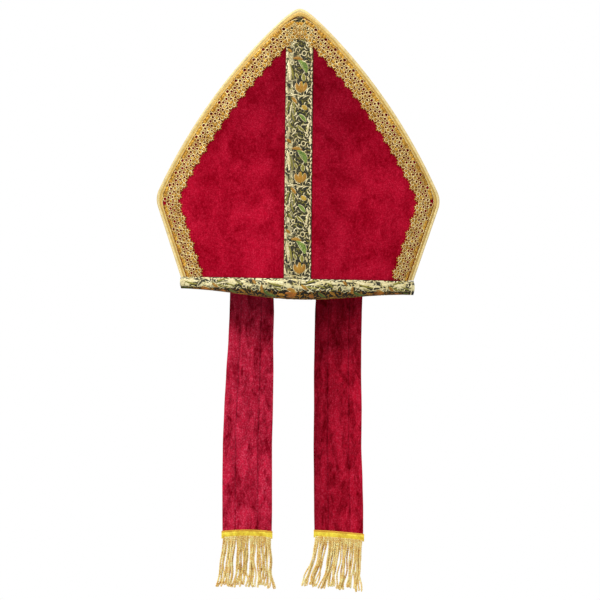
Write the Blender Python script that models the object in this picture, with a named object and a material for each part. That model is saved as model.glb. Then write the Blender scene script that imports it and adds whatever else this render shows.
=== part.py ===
"""Bishop mitre: two velvet-covered horns sewn side to side, a gusset between them, trims and two fringed lappets.

Metres, +Z up. The front faces -Y. The origin is the middle of the rim plane, where the hat sits on a head.
"""
import math
from collections import namedtuple

import bmesh
import bpy
from mathutils import Vector
from mathutils.geometry import delaunay_2d_cdt

# Outline of one horn, seen from the front; its arcs would meet over the rounded peak
MEETING_HEIGHT = 0.3460
TIP_ROUNDING = 0.0088
CORNER_HEIGHT = 0.1112
CORNER_HALF_WIDTH = 0.1718
CORNER_ROUNDING = 0.008
EDGE_SAGITTA = 0.0152
RIM_HALF_WIDTH = 0.1392

# How far the two horns bow apart
RIM_HALF_DEPTH = 0.047
PEAK_HALF_DEPTH = 0.024
LEAN_POWER = 1.6

# Cloth, gaps and seams
CLOTH_WALL = 0.0022
CLEARANCE = 0.0003
CURVED_CLEARANCE = 0.0007
PANEL_COLUMNS = 14
PANEL_ROWS = 17
PEAK_CUT = 0.0016

# Folded gusset that joins the horns over the head
GUSSET_WALL = 0.0012
GUSSET_EDGE_INSET = 0.0085
VALLEY_HEIGHT = 0.112
VALLEY_ROUNDING = 0.016
GUSSET_HALF_LENGTH = 0.156
GUSSET_COLUMNS = 14

# Gold binding on the edges
BINDING_WIDTH = 0.0057
BINDING_SWELL = 0.0012
BINDING_STEPS = 36
TIP_CROWDING = 1.25
SEAM_SHARE = 0.28
SEAM_BLEND = 0.06
BACK_BINDING_START = 0.33

# Gold lace on the front horn
LACE_WIDTH = 0.0226
LACE_THICKNESS = 0.0011
FLOWER_PITCH = 0.0175

# Brocade ribbon: upright on the front horn, and round the rim
RIBBON_WIDTH = 0.0324
RIBBON_THICKNESS = 0.0008
RIBBON_COLUMNS = 4
RIBBON_ROWS = 14
RIM_BAND_HEIGHT = 0.0144
RIM_BAND_WALL = 0.0011
RIM_STATIONS = 22
LIP_DROP = 0.0114
LIP_END_DROP = 0.0016
LIP_DEPTH = 0.0075
LIP_END_DEPTH = 0.0008

# Lappets, hung from the back of the rim
LAPPET_WIDTH = 0.0590
LAPPET_LENGTH = 0.2912
LAPPET_WALL = 0.0024
LAPPET_COLUMNS = 6
LAPPET_RELAX = 0.45
LAPPET_KEPT_TWIST = 0.35
LEFT_LAPPET_X = -0.0549
RIGHT_LAPPET_X = 0.0508

# Braid and fringe on the lappet ends
BRAID_HEIGHT = 0.0092
BRAID_THICKNESS = 0.0018
BRAID_OVERHANG = 0.0010
BRAID_COLUMNS = 6
FRINGE_LENGTH = 0.0690
FRINGE_HEAD = 0.0055
LOCK_COUNT = 11
LOCK_GAP = 0.0008
LOCK_THICKNESS = 0.0052
LOCK_TIP_WIDTH = 0.62
LOCK_SWAY = 0.0016

# Lappet sections: down is a share of the length; width, sway and forward are shares of the lappet's width
Section = namedtuple("Section", "down width sway forward")
LEFT_SECTIONS = (
    Section(0.00, 0.89, 0.000, 0.000),
    Section(0.08, 0.91, 0.004, 0.006),
    Section(0.20, 0.92, -0.011, 0.020),
    Section(0.33, 0.97, -0.025, 0.010),
    Section(0.48, 1.00, -0.044, -0.012),
    Section(0.63, 1.01, -0.061, -0.004),
    Section(0.78, 1.02, -0.058, 0.014),
    Section(0.90, 1.02, -0.052, 0.010),
    Section(1.00, 1.01, -0.050, 0.002),
)
RIGHT_SECTIONS = (
    Section(0.00, 0.95, 0.000, 0.000),
    Section(0.08, 0.96, -0.014, 0.004),
    Section(0.20, 0.96, -0.019, -0.014),
    Section(0.33, 0.97, -0.020, -0.006),
    Section(0.48, 0.98, -0.006, 0.018),
    Section(0.63, 0.98, -0.008, 0.022),
    Section(0.78, 1.00, 0.016, 0.000),
    Section(0.90, 1.01, 0.030, -0.012),
    Section(1.00, 1.00, 0.038, -0.006),
)

# Fringe and braid of each lappet: tips' shift at its two ends, and the braid's slant and arch, in metres
Trim = namedtuple("Trim", "left_tip_shift right_tip_shift slant arch")
LEFT_TRIM = Trim(-0.0100, 0.0036, 0.0000, 0.0018)
RIGHT_TRIM = Trim(-0.0170, -0.0030, -0.0021, 0.0006)

# One repeat of the lace: along is a share of the pitch, inward a share of the lace's width
LACE_OUTLINE = (
    (0.00, 0.00), (0.50, 0.00), (1.00, 0.00), (1.00, 0.62), (0.93, 0.74), (0.90, 0.90),
    (0.70, 0.93), (0.50, 1.00), (0.30, 0.93), (0.10, 0.90), (0.07, 0.74), (0.00, 0.62),
)
LACE_GAPS = (
    ((0.30, 0.05), (0.70, 0.05), (0.50, 0.24)),
    ((0.36, 0.46), (0.50, 0.36), (0.64, 0.46), (0.50, 0.56)),
)


def soft_min(first, second, rounding):
    """The smaller of two values, with the change from one to the other rounded."""
    overlap = max(rounding - abs(first - second), 0.0) / rounding
    return min(first, second) - overlap * overlap * rounding / 4


def smooth_step(value):
    value = min(max(value, 0.0), 1.0)
    return value * value * (3 - 2 * value)


def blend(start, end, share):
    return start + (end - start) * share


# The horn's outline is a straight side below the corner and an arc from the corner to the peak
CHORD = Vector((CORNER_HALF_WIDTH, CORNER_HEIGHT - MEETING_HEIGHT))
ARC_RADIUS = (CHORD.length_squared / 4 + EDGE_SAGITTA ** 2) / (2 * EDGE_SAGITTA)
ARC_INWARD = Vector((CHORD.y, -CHORD.x)).normalized()
ARC_CENTRE = Vector((0, MEETING_HEIGHT)) + CHORD / 2 + ARC_INWARD * (ARC_RADIUS - EDGE_SAGITTA)
SIDE_FLARE = (CORNER_HALF_WIDTH - RIM_HALF_WIDTH) / (CORNER_HEIGHT - RIM_BAND_HEIGHT)
SIDE_STRETCH = math.hypot(1, SIDE_FLARE)
PANEL_INSET = BINDING_WIDTH + CURVED_CLEARANCE
EDGE_START = RIM_BAND_HEIGHT + CLEARANCE


def side_line(z):
    return RIM_HALF_WIDTH + SIDE_FLARE * max(z - RIM_BAND_HEIGHT, 0.0)


def half_width(z, inset):
    """Half the horn's width at a height, set in from the edge."""
    arc = (ARC_RADIUS - inset) ** 2 - (z - ARC_CENTRE.y) ** 2
    reach = max(ARC_CENTRE.x + math.sqrt(max(arc, 0.0)), 0.0)
    upper = math.sqrt(max(reach ** 2 - TIP_ROUNDING ** 2, 0.0))
    lower = side_line(z) - inset * SIDE_STRETCH
    return max(soft_min(upper, lower, CORNER_ROUNDING), 0.0)


def edge_top(x, inset):
    """Height of the arched edge above a point of the horn's width, rounded off at the peak."""
    reach = math.hypot(x, TIP_ROUNDING)
    return ARC_CENTRE.y + math.sqrt((ARC_RADIUS - inset) ** 2 - (reach - ARC_CENTRE.x) ** 2)


PEAK_HEIGHT = edge_top(0, 0)


def bow(x, z):
    """Y of the front horn's outer face: a shallow arch from seam to seam that leans back towards the peak."""
    rise = min(max(z, 0.0) / PEAK_HEIGHT, 1.0)
    depth = blend(RIM_HALF_DEPTH, PEAK_HALF_DEPTH, rise ** LEAN_POWER)
    seam = soft_min(side_line(z), CORNER_HALF_WIDTH, CORNER_ROUNDING)
    return -depth * (1 - (x / seam) ** 2)


def bow_normal(x, z):
    """The front horn's outward normal, with a Y of exactly -1."""
    step = 1e-4
    slope_x = (bow(x + step, z) - bow(x - step, z)) / (2 * step)
    slope_z = (bow(x, z + step) - bow(x, z - step)) / (2 * step)
    return Vector((slope_x, -1, slope_z))


def on_horn(x, z, height, side=-1):
    """A point at a height over the horn's outer face; side is -1 for the front horn and 1 for the back."""
    point = Vector((x, bow(x, z), z)) + bow_normal(x, z).normalized() * height
    return Vector((point.x, -side * point.y, point.z))


def room_inside(x, z, depth):
    """Distance from the middle plane to a face that lies depth inside the horn's outer face."""
    return -bow(x, z) - depth * bow_normal(x, z).length


def even_shares(count):
    return [i / count for i in range(count + 1)]


def edge_curve(inset, shares):
    """Points (x, z) on the right-hand outline set in by inset, at shares of its length from rim to peak."""
    samples = 400
    top = edge_top(0, inset)
    dense = []
    for i in range(samples + 1):
        z = blend(EDGE_START, top, math.sin(i / samples * math.pi / 2))
        dense.append(Vector((half_width(z, inset), z)))
    dense[-1].x = 0.0
    lengths = [0.0]
    for i in range(samples):
        lengths.append(lengths[-1] + (dense[i + 1] - dense[i]).length)
    points = []
    j = 0
    for share in shares:
        wanted = lengths[-1] * share
        while j < samples - 1 and lengths[j + 1] < wanted:
            j += 1
        past = (wanted - lengths[j]) / (lengths[j + 1] - lengths[j])
        points.append(dense[j].lerp(dense[j + 1], min(past, 1.0)))
    return points


def finish(name, mesh_edit, material):
    """Turn the edited mesh into a named object with its material and outward faces."""
    bmesh.ops.recalc_face_normals(mesh_edit, faces=mesh_edit.faces)
    mesh = bpy.data.meshes.new(name)
    mesh_edit.to_mesh(mesh)
    mesh_edit.free()
    mesh.materials.append(material)
    mesh.shade_smooth()
    mesh.set_sharp_from_angle(angle=math.radians(40))
    item = bpy.data.objects.new(name, mesh)
    bpy.context.scene.collection.objects.link(item)
    return item


def sheet_solid(name, points, faces, outer, inner, material):
    """A sheet with a wall: the flat faces are laid out twice, by outer and inner, and joined round every border."""
    edit = bmesh.new()
    tops = [edit.verts.new(outer(*point)) for point in points]
    bottoms = [edit.verts.new(inner(*point)) for point in points]
    borders = {}
    for face in faces:
        edit.faces.new([tops[i] for i in face])
        edit.faces.new([bottoms[i] for i in reversed(face)])
        for i, j in zip(face, face[1:] + face[:1]):
            if (j, i) in borders:
                del borders[(j, i)]
            else:
                borders[(i, j)] = True
    for i, j in borders:
        edit.faces.new((tops[i], bottoms[i], bottoms[j], tops[j]))
    return finish(name, edit, material)


def swept_solid(name, rings, material):
    """A closed profile carried through the rings, with both ends capped."""
    edit = bmesh.new()
    loops = [[edit.verts.new(point) for point in ring] for ring in rings]
    count = len(rings[0])
    for lower, upper in zip(loops, loops[1:]):
        for i in range(count):
            j = (i + 1) % count
            edit.faces.new((lower[i], lower[j], upper[j], upper[i]))
    edit.faces.new(list(reversed(loops[0])))
    edit.faces.new(loops[-1])
    return finish(name, edit, material)


def grid(columns, rows):
    """Faces of a grid whose points run row by row."""
    faces = []
    for row in range(rows):
        for column in range(columns):
            first = row * (columns + 1) + column
            above = first + columns + 1
            faces.append((first, first + 1, above + 1, above))
    return faces


def make_material(name, colour, roughness, metallic=0.0):
    material = bpy.data.materials.new(name)
    material.use_nodes = True
    shader = material.node_tree.nodes["Principled BSDF"]
    shader.inputs["Base Color"].default_value = (*colour, 1)
    shader.inputs["Roughness"].default_value = roughness
    shader.inputs["Metallic"].default_value = metallic
    return material


def make_panel(name, side, material):
    """One horn of stiffened velvet, from the rim to the peak."""
    high = edge_top(0, PANEL_INSET) - PEAK_CUT
    heights = [2 * CLEARANCE]
    for row in range(PANEL_ROWS):
        heights.append(blend(RIM_BAND_HEIGHT, high, row / (PANEL_ROWS - 1)))
    points = []
    for z in heights:
        for column in range(PANEL_COLUMNS + 1):
            share = 2 * column / PANEL_COLUMNS - 1
            points.append((share * half_width(z, PANEL_INSET), z))
    return sheet_solid(
        name, points, grid(PANEL_COLUMNS, PANEL_ROWS),
        lambda x, z: on_horn(x, z, 0, side),
        lambda x, z: on_horn(x, z, -CLOTH_WALL, side), material)


def gusset_point(x, across, inset):
    """A point of the folded gusset; across runs from -1 at the front edge to 1 at the back edge."""
    side = -1 if across < 0 else 1
    depth = CLOTH_WALL + CURVED_CLEARANCE + inset
    rim = edge_top(x, GUSSET_EDGE_INSET)
    rounding = min(VALLEY_ROUNDING, (rim - VALLEY_HEIGHT) * 0.6)
    if abs(across) > 0.5:
        z = blend(VALLEY_HEIGHT + rounding, rim, (abs(across) - 0.5) * 2)
        return Vector((x, side * room_inside(x, z, depth), z))
    reach = room_inside(x, VALLEY_HEIGHT + rounding, depth)
    angle = abs(across) * math.pi
    z = VALLEY_HEIGHT + rounding - (rounding - inset) * math.cos(angle)
    return Vector((x, side * reach * math.sin(angle), z))


def make_gusset(material):
    """The soft cloth folded down between the horns, closing the crown over the head."""
    steps = (-1, -0.875, -0.75, -0.6, -0.5, -0.36, -0.18, 0, 0.18, 0.36, 0.5, 0.6, 0.75, 0.875, 1)
    points = []
    for across in steps:
        for column in range(GUSSET_COLUMNS + 1):
            share = math.sin((column / GUSSET_COLUMNS - 0.5) * math.pi)
            points.append((blend(0, GUSSET_HALF_LENGTH, share), across))
    return sheet_solid(
        "crown_gusset", points, grid(GUSSET_COLUMNS, len(steps) - 1),
        lambda x, across: gusset_point(x, across, GUSSET_WALL),
        lambda x, across: gusset_point(x, across, 0), material)


def binding_rings(start, side, shared):
    """Rings of the rolled binding, from the right-hand end over the peak to the left-hand end."""
    outer_profile = ((BINDING_WIDTH, 0.75), (BINDING_WIDTH * 0.55, 1.1), (BINDING_WIDTH * 0.12, 0.55))
    shares = [blend(1.0, start, (1 - step) ** TIP_CROWDING) for step in even_shares(BINDING_STEPS)]
    curves = [edge_curve(inset, shares) for inset, swell in outer_profile]
    tip_curve = edge_curve(0, shares)
    half = []
    for i, share in enumerate(shares):
        own = smooth_step((share - SEAM_SHARE) / SEAM_BLEND) if shared else 1.0
        front = []
        back = []
        for curve, (inset, swell) in zip(curves, outer_profile):
            x, z = curve[i]
            top = on_horn(x, z, BINDING_SWELL * swell, side)
            bottom = on_horn(x, z, -CLOTH_WALL - BINDING_SWELL * swell, side)
            mirrored = Vector((top.x, -top.y, top.z))
            front.append(top)
            back.append(mirrored.lerp(bottom, own))
        x, z = tip_curve[i]
        edge = on_horn(x, z, 0, side)
        middle = on_horn(x, z, -CLOTH_WALL / 2, side)
        tip = edge.lerp(middle, own)
        half.append(front + [tip] + back[::-1])
    mirror = [[Vector((-p.x, p.y, p.z)) for p in ring] for ring in half[:-1]]
    return half + mirror[::-1]


def make_lace(material):
    """The gold lace: one pierced, scalloped strip from rim to peak on each side, mitred at the peak."""
    count = len(LACE_OUTLINE)
    flat = list(LACE_OUTLINE)
    loops = [list(range(count))]
    for gap in LACE_GAPS:
        loops.append(list(range(len(flat), len(flat) + len(gap))))
        flat.extend(gap)
    edges = []
    for loop in loops:
        edges.extend(zip(loop, loop[1:] + loop[:1]))
    filled = delaunay_2d_cdt([Vector(p) for p in flat], edges, loops[:1], 1, 1e-6)
    cell_points = [tuple(p) for p in filled[0]]
    cell_faces = [face for face in filled[2] if not in_gap(face, cell_points)]

    outer_inset = PANEL_INSET
    inner_inset = PANEL_INSET + LACE_WIDTH
    fine = 8
    length = sum((b - a).length for a, b in pair_up(edge_curve(outer_inset, even_shares(60))))
    repeats = round(length / FLOWER_PITCH)
    outer_line = edge_curve(outer_inset, even_shares(repeats * fine))
    inner_line = edge_curve(inner_inset, even_shares(repeats * fine))

    def place(along, inward):
        position = along * repeats * fine
        i = min(int(position), repeats * fine - 1)
        share = position - i
        near = outer_line[i].lerp(outer_line[i + 1], share)
        far = inner_line[i].lerp(inner_line[i + 1], share)
        return near.lerp(far, inward)

    points = []
    index = {}
    faces = []
    for mirror in (1, -1):
        for repeat in range(repeats):
            numbers = []
            for along, inward in cell_points:
                spot = place((repeat + along) / repeats, inward)
                key = (round(mirror * spot.x, 6) + 0.0, round(spot.y, 6))
                if key not in index:
                    index[key] = len(points)
                    points.append((mirror * spot.x, spot.y))
                numbers.append(index[key])
            for face in cell_faces:
                corners = tuple(numbers[i] for i in face)
                faces.append(corners if mirror > 0 else corners[::-1])
    return sheet_solid(
        "lace_trim", points, faces,
        lambda x, z: on_horn(x, z, lace_base(x) + LACE_THICKNESS),
        lambda x, z: on_horn(x, z, lace_base(x)), material)


def in_gap(face, points):
    """True where a triangle of the lace's repeat lies inside one of its gaps."""
    centre_x = sum(points[i][0] for i in face) / len(face)
    centre_y = sum(points[i][1] for i in face) / len(face)
    for gap in LACE_GAPS:
        turns = []
        for (ax, ay), (bx, by) in zip(gap, gap[1:] + gap[:1]):
            turns.append((bx - ax) * (centre_y - ay) - (by - ay) * (centre_x - ax) > 0)
        if all(turns) or not any(turns):
            return True
    return False


def pair_up(items):
    return zip(items, items[1:])


def lace_base(x):
    """Height of the lace's underside over the horn: it climbs over the upright ribbon."""
    over = 1 - smooth_step((abs(x) - RIBBON_WIDTH / 2 - 0.001) / 0.012)
    return CLEARANCE + (RIBBON_THICKNESS + CLEARANCE) * over


def make_centre_band(material):
    """The upright brocade ribbon, cut to the peak's slopes at its top."""
    points = []
    for row in range(RIBBON_ROWS + 1):
        for column in range(RIBBON_COLUMNS + 1):
            x = blend(-RIBBON_WIDTH / 2, RIBBON_WIDTH / 2, column / RIBBON_COLUMNS)
            top = edge_top(x, PANEL_INSET) - PEAK_CUT
            points.append((x, blend(EDGE_START, top, row / RIBBON_ROWS)))
    return sheet_solid(
        "centre_band", points, grid(RIBBON_COLUMNS, RIBBON_ROWS),
        lambda x, z: on_horn(x, z, CLEARANCE + RIBBON_THICKNESS),
        lambda x, z: on_horn(x, z, CLEARANCE), material)


def rim_ring(x, drop, depth, side):
    """Section of the rim ribbon at x: up the horn's face, and turned under by drop and depth."""
    out = CLEARANCE + RIM_BAND_WALL
    under = -CLEARANCE

    def at(height, z):
        base = on_horn(x, 0, height, side)
        return Vector((base.x, base.y, z))

    return [
        at(out, RIM_BAND_HEIGHT),
        at(out, 0.0022),
        at(out - 0.25 * depth, -0.38 * drop),
        at(out - depth, -drop),
        at(out - depth - RIM_BAND_WALL * 1.3, -drop + 0.25 * RIM_BAND_WALL),
        at(out - 0.25 * depth - RIM_BAND_WALL * 1.3, min(under, -0.30 * drop)),
        at(CLEARANCE, under),
        at(CLEARANCE, RIM_BAND_HEIGHT),
    ]


def make_rim_band(name, side, material):
    """The brocade ribbon on one half of the rim; the front one rolls under, deepest at its middle."""
    reach = RIM_HALF_WIDTH - BINDING_WIDTH * 0.25
    rings = []
    for station in range(RIM_STATIONS + 1):
        share = math.sin((station / RIM_STATIONS - 0.5) * math.pi)
        swell = 0.5 + 0.5 * math.cos(share * math.pi)
        drop = LIP_END_DROP
        depth = LIP_END_DEPTH
        if side < 0:
            drop = blend(LIP_END_DROP, LIP_DROP, swell)
            depth = blend(LIP_END_DEPTH, LIP_DEPTH, 1 - share * share)
        rings.append(rim_ring(share * reach, drop, depth, side))
    return swept_solid(name, rings, material)


def section_at(sections, down):
    """Width, sway and forward of a lappet, between the rows of its table."""
    down = min(max(down, 0.0), 1.0)
    for low, high in pair_up(sections):
        if down <= high.down:
            share = (down - low.down) / (high.down - low.down)
            share = blend(share, smooth_step(share), 0.5)
            return Section(*(blend(a, b, share) for a, b in zip(low, high)))
    return sections[-1]


LAPPET_TOP = -LIP_END_DROP - CLEARANCE


def lappet_point(centre, sections, across, down, height):
    """A point of a lappet: across runs -1 to 1, down 0 to 1 and past it, height is towards the front."""
    section = section_at(sections, down)
    x = centre + LAPPET_WIDTH * (section.sway + across * section.width / 2)
    spread = smooth_step(down / LAPPET_RELAX)
    rim = -bow(x, 0) - CLOTH_WALL / 2
    middle = -bow(centre, 0) - CLOTH_WALL / 2
    slope = (bow(centre - 1e-3, 0) - bow(centre + 1e-3, 0)) / 2e-3
    flat = middle + slope * LAPPET_KEPT_TWIST * (x - centre)
    y = blend(rim, flat, spread) - section.forward * LAPPET_WIDTH
    return Vector((x, y - height, LAPPET_TOP - down * LAPPET_LENGTH))


def end_rise(across, trim):
    """How far the lappet's lower end stands above its nominal line, by the braid's slant and arch."""
    return trim.slant * across + trim.arch * (1 - across * across)


def make_lappet(name, centre, sections, trim, material):
    """One velvet strip, hemmed and faced, with its lower end cut to the braid's line."""
    points = []
    for down in (section.down for section in sections):
        for column in range(LAPPET_COLUMNS + 1):
            across = 2 * column / LAPPET_COLUMNS - 1
            points.append((across, down - end_rise(across, trim) / LAPPET_LENGTH * down))
    return sheet_solid(
        name, points, grid(LAPPET_COLUMNS, len(sections) - 1),
        lambda across, down: lappet_point(centre, sections, across, down, LAPPET_WALL / 2),
        lambda across, down: lappet_point(centre, sections, across, down, -LAPPET_WALL / 2), material)


def make_braid(name, centre, sections, trim, material):
    """The flat yellow braid sewn across the front of a lappet's end, over the fringe's head."""
    widen = 1 + 2 * BRAID_OVERHANG / LAPPET_WIDTH
    overlap = BRAID_HEIGHT * 0.35
    points = []
    for row in (0, 0.5, 1):
        for column in range(BRAID_COLUMNS + 1):
            across = 2 * column / BRAID_COLUMNS - 1
            points.append((across, row))
    front = LAPPET_WALL / 2 + CLEARANCE

    def place(across, row, crown):
        lower = (BRAID_HEIGHT * row - overlap - end_rise(across, trim)) / LAPPET_LENGTH
        spot = lappet_point(centre, sections, across, 1.0, front + crown)
        return Vector((centre + (spot.x - centre) * widen, spot.y, spot.z - lower * LAPPET_LENGTH))

    return sheet_solid(
        name, points, grid(BRAID_COLUMNS, 2),
        lambda across, row: place(across, row, BRAID_THICKNESS * (1 - 0.35 * abs(2 * row - 1))),
        lambda across, row: place(across, row, 0), material)


def make_fringe(name, centre, sections, trim, material):
    """The bullion fringe: tapered locks hanging from one head behind the braid."""
    half = LAPPET_WIDTH / 2
    pitch = (LAPPET_WIDTH + LOCK_GAP) / LOCK_COUNT
    levels = (0, 0.22, 0.5, 0.78, 1)
    points = []
    faces = []
    head_start = []
    for lock in range(LOCK_COUNT):
        root = -half + pitch * lock
        middle = root + (pitch - LOCK_GAP) / 2
        share = lock / (LOCK_COUNT - 1)
        shift = blend(trim.left_tip_shift, trim.right_tip_shift, share)
        sway = LOCK_SWAY * math.sin(lock * 2.4)
        reach = 1 - 0.035 * (1 + math.sin(lock * 1.7))
        first = len(points)
        head_start.append(first)
        for edge in (root, root + pitch - LOCK_GAP):
            points.append((edge, 0.0, 0.0))
        for level in levels:
            width = blend(1.0, LOCK_TIP_WIDTH, level ** 2) * (pitch - LOCK_GAP) / 2
            line = middle + shift * level ** 1.6 + sway * math.sin(level * math.pi * 0.9)
            for edge in (line - width, line + width):
                points.append((edge, FRINGE_HEAD + level * reach * (FRINGE_LENGTH - FRINGE_HEAD), level))
        for row in range(len(levels)):
            a = first + 2 * row
            faces.append((a, a + 1, a + 3, a + 2))
    for left, right in pair_up(head_start):
        faces.append((left + 1, right, right + 2, left + 3))

    def place(x, down, level, side):
        across = min(max(x / half, -1.0), 1.0)
        spot = lappet_point(centre, sections, across, 1.0, 0)
        thick = LOCK_THICKNESS * math.sin(blend(0.16, 0.86, level) * math.pi) if level else LAPPET_WALL
        x_world = centre + LAPPET_WIDTH * sections[-1].sway + x * sections[-1].width
        z = spot.z + end_rise(across, trim) - CLEARANCE - down
        return Vector((x_world, spot.y - side * thick / 2, z))

    return sheet_solid(
        name, points, faces,
        lambda x, down, level: place(x, down, level, 1),
        lambda x, down, level: place(x, down, level, -1), material)


def build():
    for item in list(bpy.data.objects):
        bpy.data.objects.remove(item)
    velvet = make_material("crimson_velvet", (0.36, 0.008, 0.022), 0.85)
    gold_lace = make_material("gold_lace", (0.62, 0.42, 0.09), 0.45, 0.3)
    gold_lame = make_material("gold_lame", (0.78, 0.62, 0.24), 0.35, 0.5)
    brocade = make_material("brocade_ribbon", (0.16, 0.15, 0.09), 0.5)
    yellow_braid = make_material("yellow_braid", (0.85, 0.62, 0.05), 0.5)
    bullion = make_material("gold_bullion", (0.72, 0.46, 0.10), 0.45, 0.3)

    make_panel("front_panel", -1, velvet)
    make_panel("back_panel", 1, velvet)
    make_gusset(velvet)
    swept_solid("front_binding", binding_rings(0.0, -1, True), gold_lame)
    swept_solid("back_binding", binding_rings(BACK_BINDING_START, 1, False), gold_lame)
    make_lace(gold_lace)
    make_centre_band(brocade)
    make_rim_band("front_rim_band", -1, brocade)
    make_rim_band("back_rim_band", 1, brocade)
    for side, centre, sections, trim in (
            ("left", LEFT_LAPPET_X, LEFT_SECTIONS, LEFT_TRIM),
            ("right", RIGHT_LAPPET_X, RIGHT_SECTIONS, RIGHT_TRIM)):
        make_lappet(side + "_lappet", centre, sections, trim, velvet)
        make_braid(side + "_lappet_braid", centre, sections, trim, yellow_braid)
        make_fringe(side + "_fringe", centre, sections, trim, bullion)


build()
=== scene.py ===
"""Looks of the bishop mitre: velvet, gold lace, brocade, binding, braid and bullion fringe on the frame."""
import random
from math import atan2, ceil, cos, exp, hypot, pi, radians, sin, sqrt

import bmesh
import bpy
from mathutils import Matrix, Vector, noise


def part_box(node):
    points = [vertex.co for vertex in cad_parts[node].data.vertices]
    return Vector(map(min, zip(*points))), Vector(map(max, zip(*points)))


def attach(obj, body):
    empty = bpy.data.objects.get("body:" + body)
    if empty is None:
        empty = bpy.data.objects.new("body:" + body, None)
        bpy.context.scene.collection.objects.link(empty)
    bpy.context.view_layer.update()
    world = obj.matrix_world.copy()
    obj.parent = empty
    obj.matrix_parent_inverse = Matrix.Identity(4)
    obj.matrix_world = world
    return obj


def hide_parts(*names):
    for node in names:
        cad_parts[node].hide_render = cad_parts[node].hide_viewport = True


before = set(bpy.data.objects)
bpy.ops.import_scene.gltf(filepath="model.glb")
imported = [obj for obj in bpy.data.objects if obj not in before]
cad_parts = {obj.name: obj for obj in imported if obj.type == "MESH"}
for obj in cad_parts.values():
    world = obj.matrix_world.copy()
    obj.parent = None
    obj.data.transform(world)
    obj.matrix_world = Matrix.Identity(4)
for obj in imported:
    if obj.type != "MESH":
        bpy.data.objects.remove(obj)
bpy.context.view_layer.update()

MM = 0.001

# Sizes read from the frame
RIM_BAND_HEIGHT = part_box("front_rim_band")[1][2]
LAPPET_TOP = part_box("left_lappet")[1][2]

# Outline and bow of a horn, as the frame has them
MEETING_HEIGHT = 346 * MM
TIP_ROUNDING = 8.8 * MM
CORNER_HEIGHT = 111.2 * MM
CORNER_HALF_WIDTH = 171.8 * MM
CORNER_ROUNDING = 8 * MM
EDGE_SAGITTA = 15.2 * MM
RIM_HALF_WIDTH = 139.2 * MM
RIM_HALF_DEPTH = 47 * MM
PEAK_HALF_DEPTH = 24 * MM
LEAN_POWER = 1.6
CLOTH_WALL = 2.2 * MM
GAP = 0.3 * MM
SEAM_GAP = 0.7 * MM

# Trims
BINDING_WIDTH = 5.7 * MM
LACE_WIDTH = 22.6 * MM
LACE_REPEATS = 22
MOTIF_MIDDLE = 11 * MM
TOP_ROOM = 1.6 * MM
RIBBON_WIDTH = 32.4 * MM
RIBBON_THICKNESS = 0.8 * MM
RIM_BAND_WALL = 1.1 * MM
LIP_DROP = 11.4 * MM
LIP_END_DROP = 1.6 * MM
LIP_DEPTH = 7.5 * MM
LIP_END_DEPTH = 0.8 * MM
RIM_TILT = 2.7 * MM
RIM_LIFT_REACH = 13 * MM
RIM_LIFT = 1.7 * MM
FOLD_DOWN = 15.5 * MM
SOFT_TURN = 2.2 * MM
ROLL_HEIGHT = 2.1 * MM
LIP_ROLL_HEIGHT = 0.5 * MM
FOLD_SINK = 0.2 * MM
TURNED_END = 4.5 * MM
BACK_RIM_WIDTH = RIM_BAND_HEIGHT + LIP_END_DROP
BROCADE_REPEAT = 108 * MM
BAND_PATTERN_START = 281 * MM
RIM_PATTERN_PHASE = 4 * MM
BACK_BINDING_START = 0.33

# Gusset between the horns
GUSSET_WALL = 1.2 * MM
GUSSET_EDGE_INSET = 8.5 * MM
VALLEY_HEIGHT = 112 * MM
VALLEY_ROUNDING = 16 * MM
GUSSET_HALF_LENGTH = 156 * MM
GUSSET_SEWN = 0.97
GUSSET_SLACK = 1.6 * MM

# Lappets and their ends
LAPPET_WIDTH = 59 * MM
LAPPET_LENGTH = 291.2 * MM
LAPPET_WALL = 2.4 * MM
LAPPET_RELAX = 0.45
LAPPET_KEPT_TWIST = 0.35
BRAID_HEIGHT = 9.2 * MM
BRAID_THICKNESS = 1.8 * MM
FRINGE_LENGTH = 69 * MM
LOCK_COUNT = 11
CORDS_PER_LOCK = 4
PLY_RADIUS = 0.62 * MM
PLY_TWIST = 5.4 * MM
FRINGE_HEAD_DROP = 4.3 * MM
FRINGE_STEP_OUT = 3.0 * MM
CORD_LENGTH = FRINGE_LENGTH - 6.6 * MM

# Lappet sections: down is a share of the length; width, sway and forward are shares of the lappet's width
SECTION_KEYS = ("down", "width", "sway", "forward")
LEFT_SECTIONS = (
    (0.00, 0.89, 0.000, 0.000),
    (0.08, 0.91, 0.004, 0.006),
    (0.20, 0.92, -0.011, 0.020),
    (0.33, 0.97, -0.025, 0.010),
    (0.48, 1.00, -0.044, -0.012),
    (0.63, 1.01, -0.061, -0.004),
    (0.78, 1.02, -0.058, 0.014),
    (0.90, 1.02, -0.052, 0.010),
    (1.00, 1.01, -0.050, 0.002),
)
RIGHT_SECTIONS = (
    (0.00, 0.95, 0.000, 0.000),
    (0.08, 0.96, -0.014, 0.004),
    (0.20, 0.96, -0.019, -0.014),
    (0.33, 0.97, -0.020, -0.006),
    (0.48, 0.98, -0.006, 0.018),
    (0.63, 0.98, -0.008, 0.022),
    (0.78, 1.00, 0.016, 0.000),
    (0.90, 1.01, 0.030, -0.012),
    (1.00, 1.00, 0.038, -0.006),
)
LAPPETS = {
    "left": {"centre": -54.9 * MM, "sections": LEFT_SECTIONS, "shifts": (-6.5 * MM, 2.0 * MM),
             "slant": 0.0, "arch": 1.8 * MM, "creases": (-0.48, 0.43), "crease_depth": 0.9 * MM},
    "right": {"centre": 50.8 * MM, "sections": RIGHT_SECTIONS, "shifts": (-15.5 * MM, -1.4 * MM),
              "slant": -2.1 * MM, "arch": 0.6 * MM, "creases": (-0.42, 0.46), "crease_depth": 0.6 * MM},
}


def blend(start, end, share):
    return start + (end - start) * share


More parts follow.
